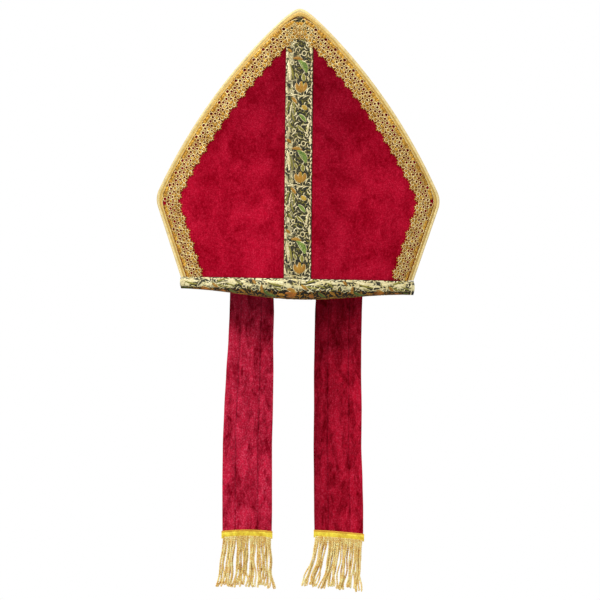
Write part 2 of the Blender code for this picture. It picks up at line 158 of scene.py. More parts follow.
def smooth_step(value):
    value = min(max(value, 0.0), 1.0)
    return value * value * (3 - 2 * value)


def soft_min(first, second, rounding):
    overlap = max(rounding - abs(first - second), 0.0) / rounding
    return min(first, second) - overlap * overlap * rounding / 4


def pair_up(items):
    return zip(items, items[1:])


# The horn's outline: a straight side below the corner, an arc from the corner to the peak
CHORD = Vector((CORNER_HALF_WIDTH, CORNER_HEIGHT - MEETING_HEIGHT))
ARC_RADIUS = (CHORD.length_squared / 4 + EDGE_SAGITTA ** 2) / (2 * EDGE_SAGITTA)
ARC_INWARD = Vector((CHORD.y, -CHORD.x)).normalized()
ARC_CENTRE = Vector((0, MEETING_HEIGHT)) + CHORD / 2 + ARC_INWARD * (ARC_RADIUS - EDGE_SAGITTA)
SIDE_FLARE = (CORNER_HALF_WIDTH - RIM_HALF_WIDTH) / (CORNER_HEIGHT - RIM_BAND_HEIGHT)
SIDE_STRETCH = hypot(1, SIDE_FLARE)
PANEL_INSET = BINDING_WIDTH + SEAM_GAP
EDGE_START = RIM_BAND_HEIGHT + GAP


def side_line(z):
    return RIM_HALF_WIDTH + SIDE_FLARE * max(z - RIM_BAND_HEIGHT, 0.0)


def half_width(z, inset):
    arc = (ARC_RADIUS - inset) ** 2 - (z - ARC_CENTRE.y) ** 2
    reach = max(ARC_CENTRE.x + sqrt(max(arc, 0.0)), 0.0)
    upper = sqrt(max(reach ** 2 - TIP_ROUNDING ** 2, 0.0))
    lower = side_line(z) - inset * SIDE_STRETCH
    return max(soft_min(upper, lower, CORNER_ROUNDING), 0.0)


def edge_top(x, inset):
    reach = hypot(x, TIP_ROUNDING)
    return ARC_CENTRE.y + sqrt((ARC_RADIUS - inset) ** 2 - (reach - ARC_CENTRE.x) ** 2)


PEAK_HEIGHT = edge_top(0, 0)


def bow(x, z):
    rise = min(max(z, 0.0) / PEAK_HEIGHT, 1.0)
    depth = blend(RIM_HALF_DEPTH, PEAK_HALF_DEPTH, rise ** LEAN_POWER)
    seam = soft_min(side_line(z), CORNER_HALF_WIDTH, CORNER_ROUNDING)
    return -depth * (1 - (x / seam) ** 2)


def bow_normal(x, z):
    step = 0.1 * MM
    slope_x = (bow(x + step, z) - bow(x - step, z)) / (2 * step)
    slope_z = (bow(x, z + step) - bow(x, z - step)) / (2 * step)
    return Vector((slope_x, -1, slope_z))


def on_horn(x, z, height, side=-1):
    """A point at a height over a horn's outer face; side is -1 for the front horn and 1 for the back."""
    point = Vector((x, bow(x, z), z)) + bow_normal(x, z).normalized() * height
    return Vector((point.x, -side * point.y, point.z))


def rim_lift(x):
    """How far the rim's low edge is worn up; the ribbon sits a little higher on the hat's right."""
    return RIM_LIFT - RIM_TILT * x / RIM_HALF_WIDTH


def room_inside(x, z, depth):
    return -bow(x, z) - depth * bow_normal(x, z).length


def edge_curve(inset, count, start=0.0):
    """Evenly spaced points (x, z) from the rim to the peak on the right-hand outline set in by inset."""
    samples = 500
    top = edge_top(0, inset)
    dense = []
    for i in range(samples + 1):
        z = blend(EDGE_START, top, sin(i / samples * pi / 2))
        dense.append(Vector((half_width(z, inset), z)))
    dense[-1].x = 0.0
    lengths = [0.0]
    for a, b in pair_up(dense):
        lengths.append(lengths[-1] + (b - a).length)
    points = []
    j = 0
    for i in range(count + 1):
        wanted = lengths[-1] * blend(start, 1.0, i / count)
        while j < samples - 1 and lengths[j + 1] < wanted:
            j += 1
        share = (wanted - lengths[j]) / (lengths[j + 1] - lengths[j])
        points.append(dense[j].lerp(dense[j + 1], min(share, 1.0)))
    return points


def ripple(x, z, size, seed=0.0):
    """Soft noise of about -1 to 1 with bumps of the given size."""
    return noise.noise(Vector((x / size, z / size, seed))) * 1.6


# Node and mesh helpers

def colour(code):
    """An sRGB hex value as a linear colour."""
    values = []
    for i in (1, 3, 5):
        channel = int(code[i:i + 2], 16) / 255
        values.append(channel / 12.92 if channel <= 0.04045 else ((channel + 0.055) / 1.055) ** 2.4)
    return (*values, 1.0)


def add(tree, kind, inputs=None, **settings):
    """Add a node with its settings, and with each input given as a value, a hex colour or a link."""
    node = tree.nodes.new(kind)
    for name, value in settings.items():
        setattr(node, name, value)
    for name, value in (inputs or {}).items():
        if isinstance(value, bpy.types.NodeSocket):
            tree.links.new(value, node.inputs[name])
        elif isinstance(value, str) and value.startswith("#"):
            node.inputs[name].default_value = colour(value)
        else:
            node.inputs[name].default_value = value
    return node


def link_object(name, data):
    item = bpy.data.objects.new(name, data)
    bpy.context.scene.collection.objects.link(item)
    return item


def finish_piece(item, slot, *nodes):
    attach(item, "root")
    if nodes:
        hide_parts(*nodes)
    return item


def turns(count):
    return [i / count * 2 * pi for i in range(count)]


def bridge(edit, lower, upper):
    """Faces between two closed loops of vertices."""
    for i in range(len(lower)):
        j = (i + 1) % len(lower)
        edit.faces.new((lower[i], lower[j], upper[j], upper[i]))


def mesh_from(name, edit, smooth_angle=50):
    bmesh.ops.recalc_face_normals(edit, faces=edit.faces)
    mesh = bpy.data.meshes.new(name)
    edit.to_mesh(mesh)
    edit.free()
    mesh.shade_smooth()
    mesh.set_sharp_from_angle(angle=radians(smooth_angle))
    return mesh


def make_sheet(name, slot, material, size, place, outer, inner, uv=lambda a, b: (a, b)):
    """A closed sheet of columns by rows: place turns shares of both into the cloth's own coordinates,
    outer and inner turn those into points of its two faces, and uv turns them into metres."""
    columns, rows = size
    points = [place(column / columns, row / rows) for row in range(rows + 1) for column in range(columns + 1)]
    edit = bmesh.new()
    layer = edit.loops.layers.uv.new("cloth")
    tops = [edit.verts.new(outer(*point)) for point in points]
    bottoms = [edit.verts.new(inner(*point)) for point in points]
    cloth = {vert: uv(*point) for verts in (tops, bottoms) for vert, point in zip(verts, points)}
    under = dict(zip(tops, bottoms))
    for row in range(rows):
        for first in range(row * (columns + 1), row * (columns + 1) + columns):
            face = (first, first + 1, first + columns + 2, first + columns + 1)
            edit.faces.new([tops[i] for i in face])
            edit.faces.new([bottoms[i] for i in reversed(face)])
    for edge in [edge for edge in edit.edges if edge.is_boundary and edge.verts[0] in under]:
        a, b = edge.verts
        edit.faces.new((a, under[a], under[b], b))
    for face in edit.faces:
        for loop in face.loops:
            loop[layer].uv = cloth[loop.vert]
    mesh = mesh_from(name, edit)
    mesh.materials.append(material)
    return finish_piece(link_object(name, mesh), slot, name)


def swept_mesh(name, rings):
    """A closed profile carried through the rings, capped; UV runs along and round in metres."""
    edit = bmesh.new()
    layer = edit.loops.layers.uv.new("cloth")
    loops = [[edit.verts.new(point) for point in ring] for ring in rings]
    count = len(rings[0])
    along = [0.0]
    for a, b in pair_up(rings):
        along.append(along[-1] + (b[0] - a[0]).length)
    around = [0.0]
    middle = rings[len(rings) // 2]
    for i in range(count):
        around.append(around[-1] + (middle[(i + 1) % count] - middle[i]).length)
    for row in range(len(rings) - 1):
        for i in range(count):
            j = (i + 1) % count
            face = edit.faces.new((loops[row][i], loops[row][j], loops[row + 1][j], loops[row + 1][i]))
            corners = ((row, i), (row, i + 1), (row + 1, i + 1), (row + 1, i))
            for loop, (r, c) in zip(face.loops, corners):
                loop[layer].uv = (along[r], around[c])
    edit.faces.new(list(reversed(loops[0])))
    edit.faces.new(loops[-1])
    return mesh_from(name, edit)


def join_meshes(name, parts, materials):
    """One object from several meshes; each part is (mesh, index of its material)."""
    edit = bmesh.new()
    for mesh, slot in parts:
        start = len(edit.faces)
        edit.from_mesh(mesh)
        edit.faces.ensure_lookup_table()
        for face in edit.faces[start:]:
            face.material_index = slot
        bpy.data.meshes.remove(mesh)
    mesh = bpy.data.meshes.new(name)
    edit.to_mesh(mesh)
    edit.free()
    for material in materials:
        mesh.materials.append(material)
    return link_object(name, mesh)


# Geometry Nodes: round cords along curves, and copies of a motif on points

def open_tree(name, socket, kind):
    """A tree with its geometry, one more named input and a thread; gives its inputs too."""
    tree = bpy.data.node_groups.new(name, "GeometryNodeTree")
    for title, value in (("Geometry", "Geometry"), (socket, kind), ("Thread", "Material")):
        tree.interface.new_socket(title, in_out="INPUT", socket_type="NodeSocket" + value)
    tree.interface.new_socket("Geometry", in_out="OUTPUT", socket_type="NodeSocketGeometry")
    return tree, add(tree, "NodeGroupInput").outputs


def close_tree(tree, source, geometry):
    realized = add(tree, "GeometryNodeRealizeInstances", {"Geometry": geometry})
    dressed = add(tree, "GeometryNodeSetMaterial",
                  {"Geometry": realized.outputs["Geometry"], "Material": source["Thread"]})
    add(tree, "NodeGroupOutput", {"Geometry": dressed.outputs["Geometry"]})
    return tree


def round_cord_tree():
    """A tree that turns each spline into a round cord, as thick as the spline's radius says."""
    tree, source = open_tree("round_cord", "Sides", "Int")
    profile = add(tree, "GeometryNodeCurvePrimitiveCircle", {"Resolution": source["Sides"], "Radius": 1.0})
    cord = add(tree, "GeometryNodeCurveToMesh",
               {"Curve": source["Geometry"], "Profile Curve": profile.outputs["Curve"], "Fill Caps": True})
    if "Scale" in cord.inputs:
        radius = add(tree, "GeometryNodeInputRadius")
        tree.links.new(radius.outputs[0], cord.inputs["Scale"])
    smooth = add(tree, "GeometryNodeSetShadeSmooth", {"Geometry": cord.outputs["Mesh"]})
    return close_tree(tree, source, smooth.outputs["Geometry"])


def motif_copies_tree():
    """A tree that sets a motif on each point, turned to the point's out and along, and sized by its size."""
    tree, source = open_tree("motif_copies", "Motif", "Object")
    motif = add(tree, "GeometryNodeObjectInfo", {"Object": source["Motif"]})
    out, along, size = [
        add(tree, "GeometryNodeInputNamedAttribute", {"Name": name},
            data_type="FLOAT_VECTOR").outputs["Attribute"] for name in ("out", "along", "size")]
    turn = add(tree, "FunctionNodeAxesToRotation", {0: out, 1: along}, primary_axis="Z", secondary_axis="X")
    copies = add(tree, "GeometryNodeInstanceOnPoints",
                 {"Points": source["Geometry"], "Instance": motif.outputs["Geometry"],
                  "Rotation": turn.outputs["Rotation"], "Scale": size})
    return close_tree(tree, source, copies.outputs["Instances"])


def run_tree(item, tree, values):
    """Run a tree on an object with its named inputs set, and return the result as a plain mesh."""
    modifier = item.modifiers.new("tree", "NODES")
    modifier.node_group = tree
    for socket in tree.interface.items_tree:
        if socket.in_out == "INPUT" and socket.name in values:
            modifier[socket.identifier] = values[socket.name]
    graph = bpy.context.evaluated_depsgraph_get()
    mesh = bpy.data.meshes.new_from_object(item.evaluated_get(graph))
    data = item.data
    bpy.data.objects.remove(item)
    if isinstance(data, bpy.types.Curve):
        bpy.data.curves.remove(data)
    else:
        bpy.data.meshes.remove(data)
    mesh.materials.clear()
    return mesh


def cord_mesh(strands, material, sides=6):
    """Round cords along strands; each strand is (points, radius)."""
    curve = bpy.data.curves.new("strands", "CURVE")
    curve.dimensions = "3D"
    for points, radius in strands:
        spline = curve.splines.new("POLY")
        spline.points.add(len(points) - 1)
        for target, point in zip(spline.points, points):
            target.co = (*point, 1)
            target.radius = radius
    return run_tree(link_object("strands", curve), CORD_TREE, {"Sides": sides, "Thread": material})


def copies_mesh(spots, motif_mesh, material):
    """Copies of a motif; each spot is (point, out, along, size)."""
    mesh = bpy.data.meshes.new("spots")
    mesh.from_pydata([spot[0] for spot in spots], [], [])
    for name, column in (("out", 1), ("along", 2), ("size", 3)):
        layer = mesh.attributes.new(name, "FLOAT_VECTOR", "POINT")
        for i, spot in enumerate(spots):
            layer.data[i].vector = spot[column]
    motif = link_object("motif", motif_mesh)
    motif.hide_render = True
    result = run_tree(link_object("spots", mesh), COPIES_TREE, {"Motif": motif, "Thread": material})
    bpy.data.objects.remove(motif)
    bpy.data.meshes.remove(motif_mesh)
    return result


CORD_TREE = round_cord_tree()
COPIES_TREE = motif_copies_tree()


# Materials

# A wave texture of scale 1 has its ribs this far apart, in metres
WAVE_PERIOD = 0.314


class Finish:
    """A material in the making: each step adds a node and gives its output."""

    def __init__(self, name):
        self.material = bpy.data.materials.new(name)
        self.material.use_nodes = True
        self.tree = self.material.node_tree
        self.tree.nodes.clear()
        place = add(self.tree, "ShaderNodeTexCoord")
        self.object, self.cloth = place.outputs["Object"], place.outputs["UV"]

    def step(self, kind, inputs, output=0, **settings):
        return add(self.tree, kind, inputs, **settings).outputs[output]

    def scaled(self, place, scale):
        return self.step("ShaderNodeMapping", {"Vector": place, "Scale": scale})

    def axis(self, place, name):
        return self.step("ShaderNodeSeparateXYZ", {"Vector": place}, name)

    def noise(self, size, detail=2.0, roughness=0.5, distortion=0.0, place=None):
        """Noise with grains of a size in metres, in object space if no place is given."""
        return self.step("ShaderNodeTexNoise", {
            "Vector": place or self.object, "Scale": 1 / size, "Detail": detail, "Roughness": roughness,
            "Distortion": distortion})

    def waves(self, place, size, distortion, detail=2.0, direction="X"):
        """Ribs a size in metres apart."""
        return self.step("ShaderNodeTexWave", {
            "Vector": place, "Scale": WAVE_PERIOD / size, "Distortion": distortion, "Detail": detail},
            1, bands_direction=direction)

    def spread(self, value, low, high, least=0.0, most=1.0, kind="LINEAR"):
        """Low to high of a value, spread over least to most."""
        return self.step("ShaderNodeMapRange", {
            "Value": value, "From Min": low, "From Max": high, "To Min": least, "To Max": most},
            interpolation_type=kind)

    def product(self, first, second):
        return self.step("ShaderNodeMath", {0: first, 1: second}, operation="MULTIPLY")

    def distance(self, value, line):
        """How far a value is from a line."""
        gap = self.step("ShaderNodeMath", {0: value, 1: line}, operation="SUBTRACT")
        return self.step("ShaderNodeMath", {0: gap}, operation="ABSOLUTE")

    def mean(self, share, first, second):
        return self.step("ShaderNodeMix", {0: share, 2: first, 3: second}, data_type="FLOAT")

    def mix(self, share, first, second, way="MIX"):
        return self.step("ShaderNodeMix", {0: share, 6: first, 7: second}, 2,
                         data_type="RGBA", blend_type=way)

    def shaded(self, base, light):
        return self.mix(1.0, base, light, "MULTIPLY")

    def close(self, base, relief, strength, depth, shader_inputs):
        """End with a base colour, a relief of a depth in metres and the shader's other inputs."""
        bump = self.step("ShaderNodeBump", {"Height": relief, "Strength": strength, "Distance": depth})
        surface = self.step("ShaderNodeBsdfPrincipled", {"Base Color": base, "Normal": bump, **shader_inputs})
        add(self.tree, "ShaderNodeOutputMaterial", {"Surface": surface})
        return self.material


def pile_velvet(name, dark, light, glint, patch, streak, fades, pressed=()):
    """Short-pile velvet: brushed patches and tufts, with painted glints where the tufts catch the light.

    Each fade is (axis, start, end, share): the colour darkens by that share from start to end.
    Lines of painted shade run down the cloth at the given places across it, along its pressed creases.
    """
    finish = Finish(name)
    brushed = finish.scaled(finish.object, (1, 1, streak))
    patches = finish.spread(finish.noise(patch, 5.0, 0.62, 0.6, brushed), 0.38, 0.62)
    tufts = finish.noise(3.0 * MM, 3.0, 0.75, place=brushed)
    pile = finish.noise(1.5 * MM, 2.0, 0.7)
    both = finish.mean(0.45, patches, finish.spread(tufts, 0.34, 0.66))
    # painted glints: pale specks where the pile catches the light
    painted_glint = finish.product(finish.spread(pile, 0.48, 0.68, 0.0, 0.62), both)
    shade = finish.mix(painted_glint, finish.mix(both, dark, light), glint)
    for axis, start, end, share in fades:
        along = finish.axis(finish.object, axis)
        shade = finish.shaded(shade, finish.spread(along, start, end, 1.0, 1 - share, "SMOOTHSTEP"))
    # painted shade along the pressed creases
    for line in pressed:
        away = finish.distance(finish.axis(finish.cloth, "X"), line)
        shade = finish.shaded(shade, finish.spread(away, 0.3 * MM, 1.2 * MM, 0.7, 1.0))
    return finish.close(shade, finish.mean(0.5, tufts, pile), 0.6, 0.7 * MM,
                        {"Roughness": 0.85, "Specular IOR Level": 0.0, "Sheen Weight": 0.05,
                         "Sheen Roughness": 0.45, "Sheen Tint": "#E0203C"})


def metallic_thread(name, deep, pale, grain, metallic, roughness):
    """Thread wrapped in metal film, its colour a noise mix of deep and pale: painted shade and painted glints
    on the film.
    """
    finish = Finish(name)
    glints = finish.mean(0.3, finish.noise(grain, 3.0, 0.65), finish.noise(9 * MM))
    base = finish.mix(finish.spread(glints, 0.36, 0.64), deep, pale)
    wraps = finish.waves(finish.object, 0.7536 * MM, 1.5, 1.0, "DIAGONAL")
    return finish.close(base, wraps, 0.35, 0.25 * MM,
                        {"Metallic": metallic, "Roughness": roughness, "Specular IOR Level": 0.3})


def ribbed_cloth(name, deep, pale, rib):
    """Woven strip with fine ribs across its run, from the strip's own UV in metres."""
    finish = Finish(name)
    mottle = finish.spread(finish.noise(5 * MM, 4.0, 0.7), 0.35, 0.65)
    ribs = finish.waves(finish.cloth, rib, 0.6, 1.0)
    return finish.close(finish.mix(mottle, deep, pale), ribs, 0.4, 0.3 * MM, {"Roughness": 0.5})


def rolled_lame(name, stops):
    """Gold lame of the binding; stops are (millimetres from its inner edge, colour)."""
    finish = Finish(name)
    wide = stops[-1][0]
    share = finish.spread(finish.axis(finish.cloth, "Y"), 0.0, wide * MM)
    ramp = add(finish.tree, "ShaderNodeValToRGB", {"Fac": share})
    elements = ramp.color_ramp.elements
    elements.remove(elements[1])
    for i, (reach, code) in enumerate(stops):
        element = elements[0] if i == 0 else elements.new(reach / wide)
        element.position = reach / wide
        element.color = colour(code)
    mottle = finish.spread(finish.noise(4 * MM, 4.0, 0.7), 0.35, 0.65, 0.82, 1.1)
    ribs = finish.waves(finish.cloth, 1.4 * MM, 0.8, 1.0)
    return finish.close(finish.shaded(ramp.outputs[0], mottle), ribs, 0.3, 0.25 * MM,
                        {"Metallic": 0.25, "Roughness": 0.4})


def brocade_ground(name, crest, reach, painted_sheen_share, painted_fold_shade_share):
    """Charcoal satin ground of the brocade, with green and brown threads and fine pale gold weft flecks.

    Painted highlights: cream patches within reach of the crest across the ribbon stand for the satin catching
    the light.
    Painted shade turns the ground a dark brown below the fold.
    """
    finish = Finish(name)
    flecks = finish.noise(0.9 * MM, 2.0, 0.7, place=finish.scaled(finish.cloth, (0.25, 1, 1)))
    tint = finish.spread(finish.noise(7 * MM, place=finish.cloth), 0.38, 0.62)
    woven = finish.mix(finish.spread(flecks, 0.54, 0.70, 0.0, 0.7), finish.mix(tint, "#161A1A", "#322C16"),
                       "#9A9058")
    across = finish.axis(finish.cloth, "X")
    away = finish.distance(across, crest)
    satin = finish.noise(4.5 * MM, distortion=0.6, place=finish.scaled(finish.cloth, (1, 0.4, 1)))
    # painted highlight: cream sheen patches near the crest
    painted_sheen = finish.product(finish.spread(away, reach / 2, reach, painted_sheen_share, 0.0),
                         finish.spread(satin, 0.48, 0.58))
    # painted shade: dark brown below the fold
    under = finish.spread(across, -3 * MM, MM, 0.0, painted_fold_shade_share, "SMOOTHSTEP")
    shade = finish.mix(under, finish.mix(painted_sheen, woven, "#F4E8B0"), "#120800")
    weave = finish.waves(finish.cloth, 0.8 * MM, 0.4, direction="Y")
    return finish.close(shade, weave, 0.4, 0.2 * MM, {"Roughness": 0.45, "Specular IOR Level": 0.2})


def lappet_velvet(side, dark, light, glint, fades):
    # places of the painted crease shade, at the strip's creases
    pressed = [crease * LAPPET_WIDTH / 2 for crease in LAPPETS[side]["creases"]]
    return pile_velvet("crushed_velvet_" + side, dark, light, glint, 11 * MM, 0.4, fades, pressed)


PANEL_VELVET = pile_velvet("crimson_velvet", "#7E0010", "#B40E2C", "#DA3250", 30 * MM, 0.8,
                           (("Z", 70 * MM, 290 * MM, 0.40), ("X", -50 * MM, 24 * MM, 0.15),
                            ("X", 40 * MM, 88 * MM, -0.20)))
# Each strip darkens towards its top, painted shade under the rim. The right strip is drawn darker, most of
# all along its inner edge
LAPPET_VELVETS = {
    "left": lappet_velvet("left", "#700010", "#CE2040", "#EC6480", (("Z", -46 * MM, -12 * MM, 0.34),)),
    "right": lappet_velvet("right", "#680008", "#BE1430", "#D84460",
                           (("Z", -50 * MM, -12 * MM, 0.36), ("X", 40 * MM, 22 * MM, 0.26),
                            ("X", 78 * MM, 40 * MM, 0.18))),
}
# The stops paint shade at the inner edge by the lace and in the groove at 4.2 mm, and a pale highlight over
# the roll from 5.2 mm out
BINDING_LAME = rolled_lame("binding_lame", (
    (0.0, "#C89C40"), (1.5, "#E4BE62"), (3.0, "#D8B058"), (4.2, "#B08A3C"), (5.2, "#E8CC80"),
    (7.0, "#F0DCA0"), (9.0, "#E8CC88")))
# The film's glints are drawn about twice as coarse as they are, so that they show at the picture's size
LACE_GOLD = metallic_thread("lace_gold", "#744404", "#EAB440", 1.7 * MM, 0.3, 0.42)
LACE_PALE = metallic_thread("lace_pale_gold", "#B47A20", "#FFF2B0", 1.5 * MM, 0.3, 0.36)
BRAID_YELLOW = ribbed_cloth("yellow_braid", "#D0A80C", "#F8E440", 1.1 * MM)
BRAID_EDGE = ribbed_cloth("orange_gold_braid_edge", "#C88C10", "#E8B020", 1.1 * MM)
# Bullion cords in three tones from the palest to the deepest: lighter and darker copies of one gold, painted
# as if each cord takes the light its own way
BULLION = [metallic_thread("bullion_" + tone, deep, pale, 1.8 * MM, 0.0, 0.4) for tone, deep, pale in (
    ("pale_gold", "#E8AC28", "#FFFCC0"), ("gold", "#D89410", "#FFFAB0"),
    ("amber_gold", "#C47806", "#FFF29C"))]
# Painted highlight patches near each ribbon's crest; the rim's ground also takes painted shade below its fold
BROCADE = brocade_ground("brocade_ground", -11 * MM, 6 * MM, 0.4, 0.0)
RIM_BROCADE = brocade_ground("rim_brocade_ground", -9.5 * MM, 7 * MM, 0.85, 0.85)
# Threads of the figures: deep and pale colour, grain in millimetres, metal and roughness
THREAD_LOOKS = {
    "pale": ("#A89448", "#FFF4CC", 0.9, 0.2, 0.35),
    "olive": ("#504E18", "#A49A40", 1.1, 0.0, 0.5),
    "green": ("#2C5018", "#90A448", 1.2, 0.0, 0.45),
    "orange": ("#7E5010", "#BC8C30", 1.2, 0.0, 0.45),
    # cream is a paler copy of pale for the rim's roll, a painted highlight; tan, rust and moss are darker
    # copies for below the rim's fold, painted shade
    "cream": ("#C8B460", "#FFF8D4", 0.9, 0.1, 0.35),
    "tan": ("#2A1600", "#B47E1C", 1.1, 0.0, 0.5),
    "rust": ("#5E3204", "#B46C18", 1.2, 0.0, 0.45),
    "moss": ("#16280A", "#5A7028", 1.2, 0.0, 0.45),
    "ochre": ("#846414", "#CCA83C", 1.2, 0.0, 0.45),
}
FIGURE_THREADS = {
    thread: metallic_thread("brocade_" + thread + "_silk", deep, pale, grain * MM, metal, rough)
    for thread, (deep, pale, grain, metal, rough) in THREAD_LOOKS.items()}


# Velvet pieces

def make_panel(name, side, seed):
    """One horn: velvet over stiffening, with the faint hollows that hand-sewn cloth keeps."""
    rows = 116
    low, high = 2 * GAP, edge_top(0, PANEL_INSET) - TOP_ROOM
    widths = [2 * half_width(blend(low, high, row / rows), PANEL_INSET) for row in range(rows + 1)]

    def place(u, v):
        z = blend(low, high, v)
        x = (2 * u - 1) * half_width(z, PANEL_INSET)
        return x, z + max(rim_lift(x), 0.0) * max(1 - z / RIM_LIFT_REACH, 0.0)

    def sunk(x, z):
        wave = 0.5 + 0.5 * ripple(x, z, 34 * MM, seed)
        small = 0.5 + 0.5 * ripple(x, z, 9 * MM, seed + 5)
        return -(0.55 * wave + 0.12 * small) * MM

    panel = make_sheet(name, "velvet", PANEL_VELVET, (104, rows), place,
                       lambda x, z: on_horn(x, z, sunk(x, z), side),
                       lambda x, z: on_horn(x, z, -CLOTH_WALL, side))


def gusset_point(x, across, inset):
    side = -1 if across < 0 else 1
    depth = CLOTH_WALL + SEAM_GAP + inset
    rim = edge_top(x, GUSSET_EDGE_INSET)
    rounding = min(VALLEY_ROUNDING, (rim - VALLEY_HEIGHT) * 0.6)
    if abs(across) > 0.5:
        z = blend(VALLEY_HEIGHT + rounding, rim, (abs(across) - 0.5) * 2)
        return Vector((x, side * room_inside(x, z, depth), z))
    reach = room_inside(x, VALLEY_HEIGHT + rounding, depth)
    angle = abs(across) * pi
    z = VALLEY_HEIGHT + rounding - (rounding - inset) * cos(angle)
    return Vector((x, side * reach * sin(angle), z))


def make_gusset():
    """The soft cloth between the horns, with shallow slack folds in its valley that die out at its ends."""
    def slack(x, across):
        fold = 0.5 + 0.5 * ripple(x, across * 0.04, 17 * MM, 3.0)
        fade = smooth_step((GUSSET_HALF_LENGTH - abs(x)) / (60 * MM))
        return fold * GUSSET_SLACK * smooth_step((GUSSET_SEWN - abs(across)) * 4) * fade

    gusset = make_sheet("crown_gusset", "velvet", PANEL_VELVET, (90, 60),
                        lambda u, v: (GUSSET_HALF_LENGTH * sin((u - 0.5) * pi), 2 * v - 1),
                        lambda x, across: gusset_point(x, across, GUSSET_WALL + slack(x, across)),
                        lambda x, across: gusset_point(x, across, slack(x, across) * 0.8),
                        lambda x, across: (x, across * 0.2))


def section_at(sections, down):
    down = min(max(down, 0.0), 1.0)
    for low, high in pair_up(sections):
        if down <= high[0]:
            share = (down - low[0]) / (high[0] - low[0])
            share = blend(share, smooth_step(share), 0.5)
            return dict(zip(SECTION_KEYS, (blend(a, b, share) for a, b in zip(low, high))))
    return dict(zip(SECTION_KEYS, sections[-1]))


def lappet_point(lappet, across, down, height):
    section = section_at(lappet["sections"], down)
    centre = lappet["centre"]
    x = centre + LAPPET_WIDTH * (section["sway"] + across * section["width"] / 2)
    spread = smooth_step(down / LAPPET_RELAX)
    rim = -bow(x, 0) - CLOTH_WALL / 2
    middle = -bow(centre, 0) - CLOTH_WALL / 2
    slope = (bow(centre - MM, 0) - bow(centre + MM, 0)) / (2 * MM)
    flat = middle + slope * LAPPET_KEPT_TWIST * (x - centre)
    y = blend(rim, flat, spread) - section["forward"] * LAPPET_WIDTH
    return Vector((x, y - height, LAPPET_TOP - down * LAPPET_LENGTH))


def end_rise(lappet, across):
    return lappet["slant"] * across + lappet["arch"] * (1 - across * across)


def make_lappet(side, seed):
    """A velvet strip, hemmed double: rolled edges, two pressed creases and slack hollows down its length."""
    lappet = LAPPETS[side]

    def place(u, v):
        across = 2 * u - 1
        return across, v - end_rise(lappet, across) / LAPPET_LENGTH * v

    def swell(across, down):
        """Half the strip's thickness: thin at its rolled edges, pressed in along the creases."""
        edge = sqrt(max(1 - abs(across) ** 14, 0.0))
        half = LAPPET_WALL / 2 * blend(0.35, 1.0, edge)
        for crease in lappet["creases"]:
            near = (across - crease) / 0.03
            half -= lappet["crease_depth"] * exp(-near * near)
        return half

    def slack(across, down):
        z = down * LAPPET_LENGTH
        x = across * LAPPET_WIDTH / 2
        long_wave = ripple(x * 1.3, z * 0.6, 30 * MM, seed)
        short_wave = ripple(x, z * 0.7, 11 * MM, seed + 3)
        return (0.9 * long_wave + 0.35 * short_wave) * MM * smooth_step(down * 14)

    def face(side_sign):
        return lambda across, down: lappet_point(
            lappet, across, down, slack(across, down) + side_sign * swell(across, down))

    strip = make_sheet(side + "_lappet", "velvet", LAPPET_VELVETS[side], (56, 190), place, face(1), face(-1),
                       lambda across, down: (across * LAPPET_WIDTH / 2, down * LAPPET_LENGTH))


# Binding

BINDING_PROFILE = (
    # share of the width from the outer edge inwards, and height over the cloth in millimetres
    (1.19, -0.10), (1.16, 0.45), (0.98, 0.95), (0.86, 1.15), (0.74, 1.05), (0.66, 0.80), (0.58, 0.40),
    (0.51, 0.75), (0.42, 1.25), (0.31, 1.55), (0.20, 1.50), (0.11, 1.15), (0.04, 0.55),
)


# Shares of the run from the rim to the peak: where the horns part, and how far the shared roll eases
PARTING = 0.28
PARTING_EASE = 0.06


def make_binding(name, start, side, shared):
    """Rolled lame binding: a flat fold next to the lace, a groove, and a round roll over the edge.

    A shared binding holds both horns from the rim to where they part, and then its own horn alone.
    """
    steps = 170
    curves = [edge_curve(share * BINDING_WIDTH, steps, start) for share, height in BINDING_PROFILE]
    tip_curve = edge_curve(0, steps, start)
    half = []
    for i in range(steps + 1):
        own = 1.0
        if shared:
            own = smooth_step((blend(start, 1.0, i / steps) - PARTING) / PARTING_EASE)
        front = []
        back = []
        for curve, (share, height) in zip(curves, BINDING_PROFILE):
            x, z = curve[i]
            top = on_horn(x, z, height * MM, side)
            bottom = on_horn(x, z, -CLOTH_WALL - height * MM * 0.7, side)
            front.append(top)
            back.append(Vector((top.x, -top.y, top.z)).lerp(bottom, own))
        x, z = tip_curve[i]
        tip = on_horn(x, z, 0, side).lerp(on_horn(x, z, -CLOTH_WALL / 2, side), own)
        half.append(front + [tip] + back[::-1])
    mirror = [[Vector((-p.x, p.y, p.z)) for p in ring] for ring in half[:-1]]
    mesh = swept_mesh(name, half + mirror[::-1])
    mesh.materials.append(BINDING_LAME)
    finish_piece(link_object(name, mesh), "gold_lame", name)


# Lace

def lace_line():
    """The lace's middle line from rim to peak: points with unit inward directions, eased round the corner."""
    steps = 360
    points = edge_curve(PANEL_INSET + LACE_WIDTH / 2, steps)
    straight = []
    for i in range(steps + 1):
        along = (points[min(i + 1, steps)] - points[max(i - 1, 0)]).normalized()
        straight.append(Vector((-along.y, along.x)))
    eased = []
    reach = 13
    for i in range(steps + 1):
        near = [straight[min(max(j, 0), steps)] for j in range(i - reach, i + reach + 1)]
        eased.append(sum(near, Vector((0, 0))).normalized())
    length = sum((b - a).length for a, b in pair_up(points))
    return points, straight, eased, length


LACE_POINTS, LACE_STRAIGHT, LACE_EASED, LACE_LENGTH = lace_line()
LACE_PITCH = LACE_LENGTH / LACE_REPEATS


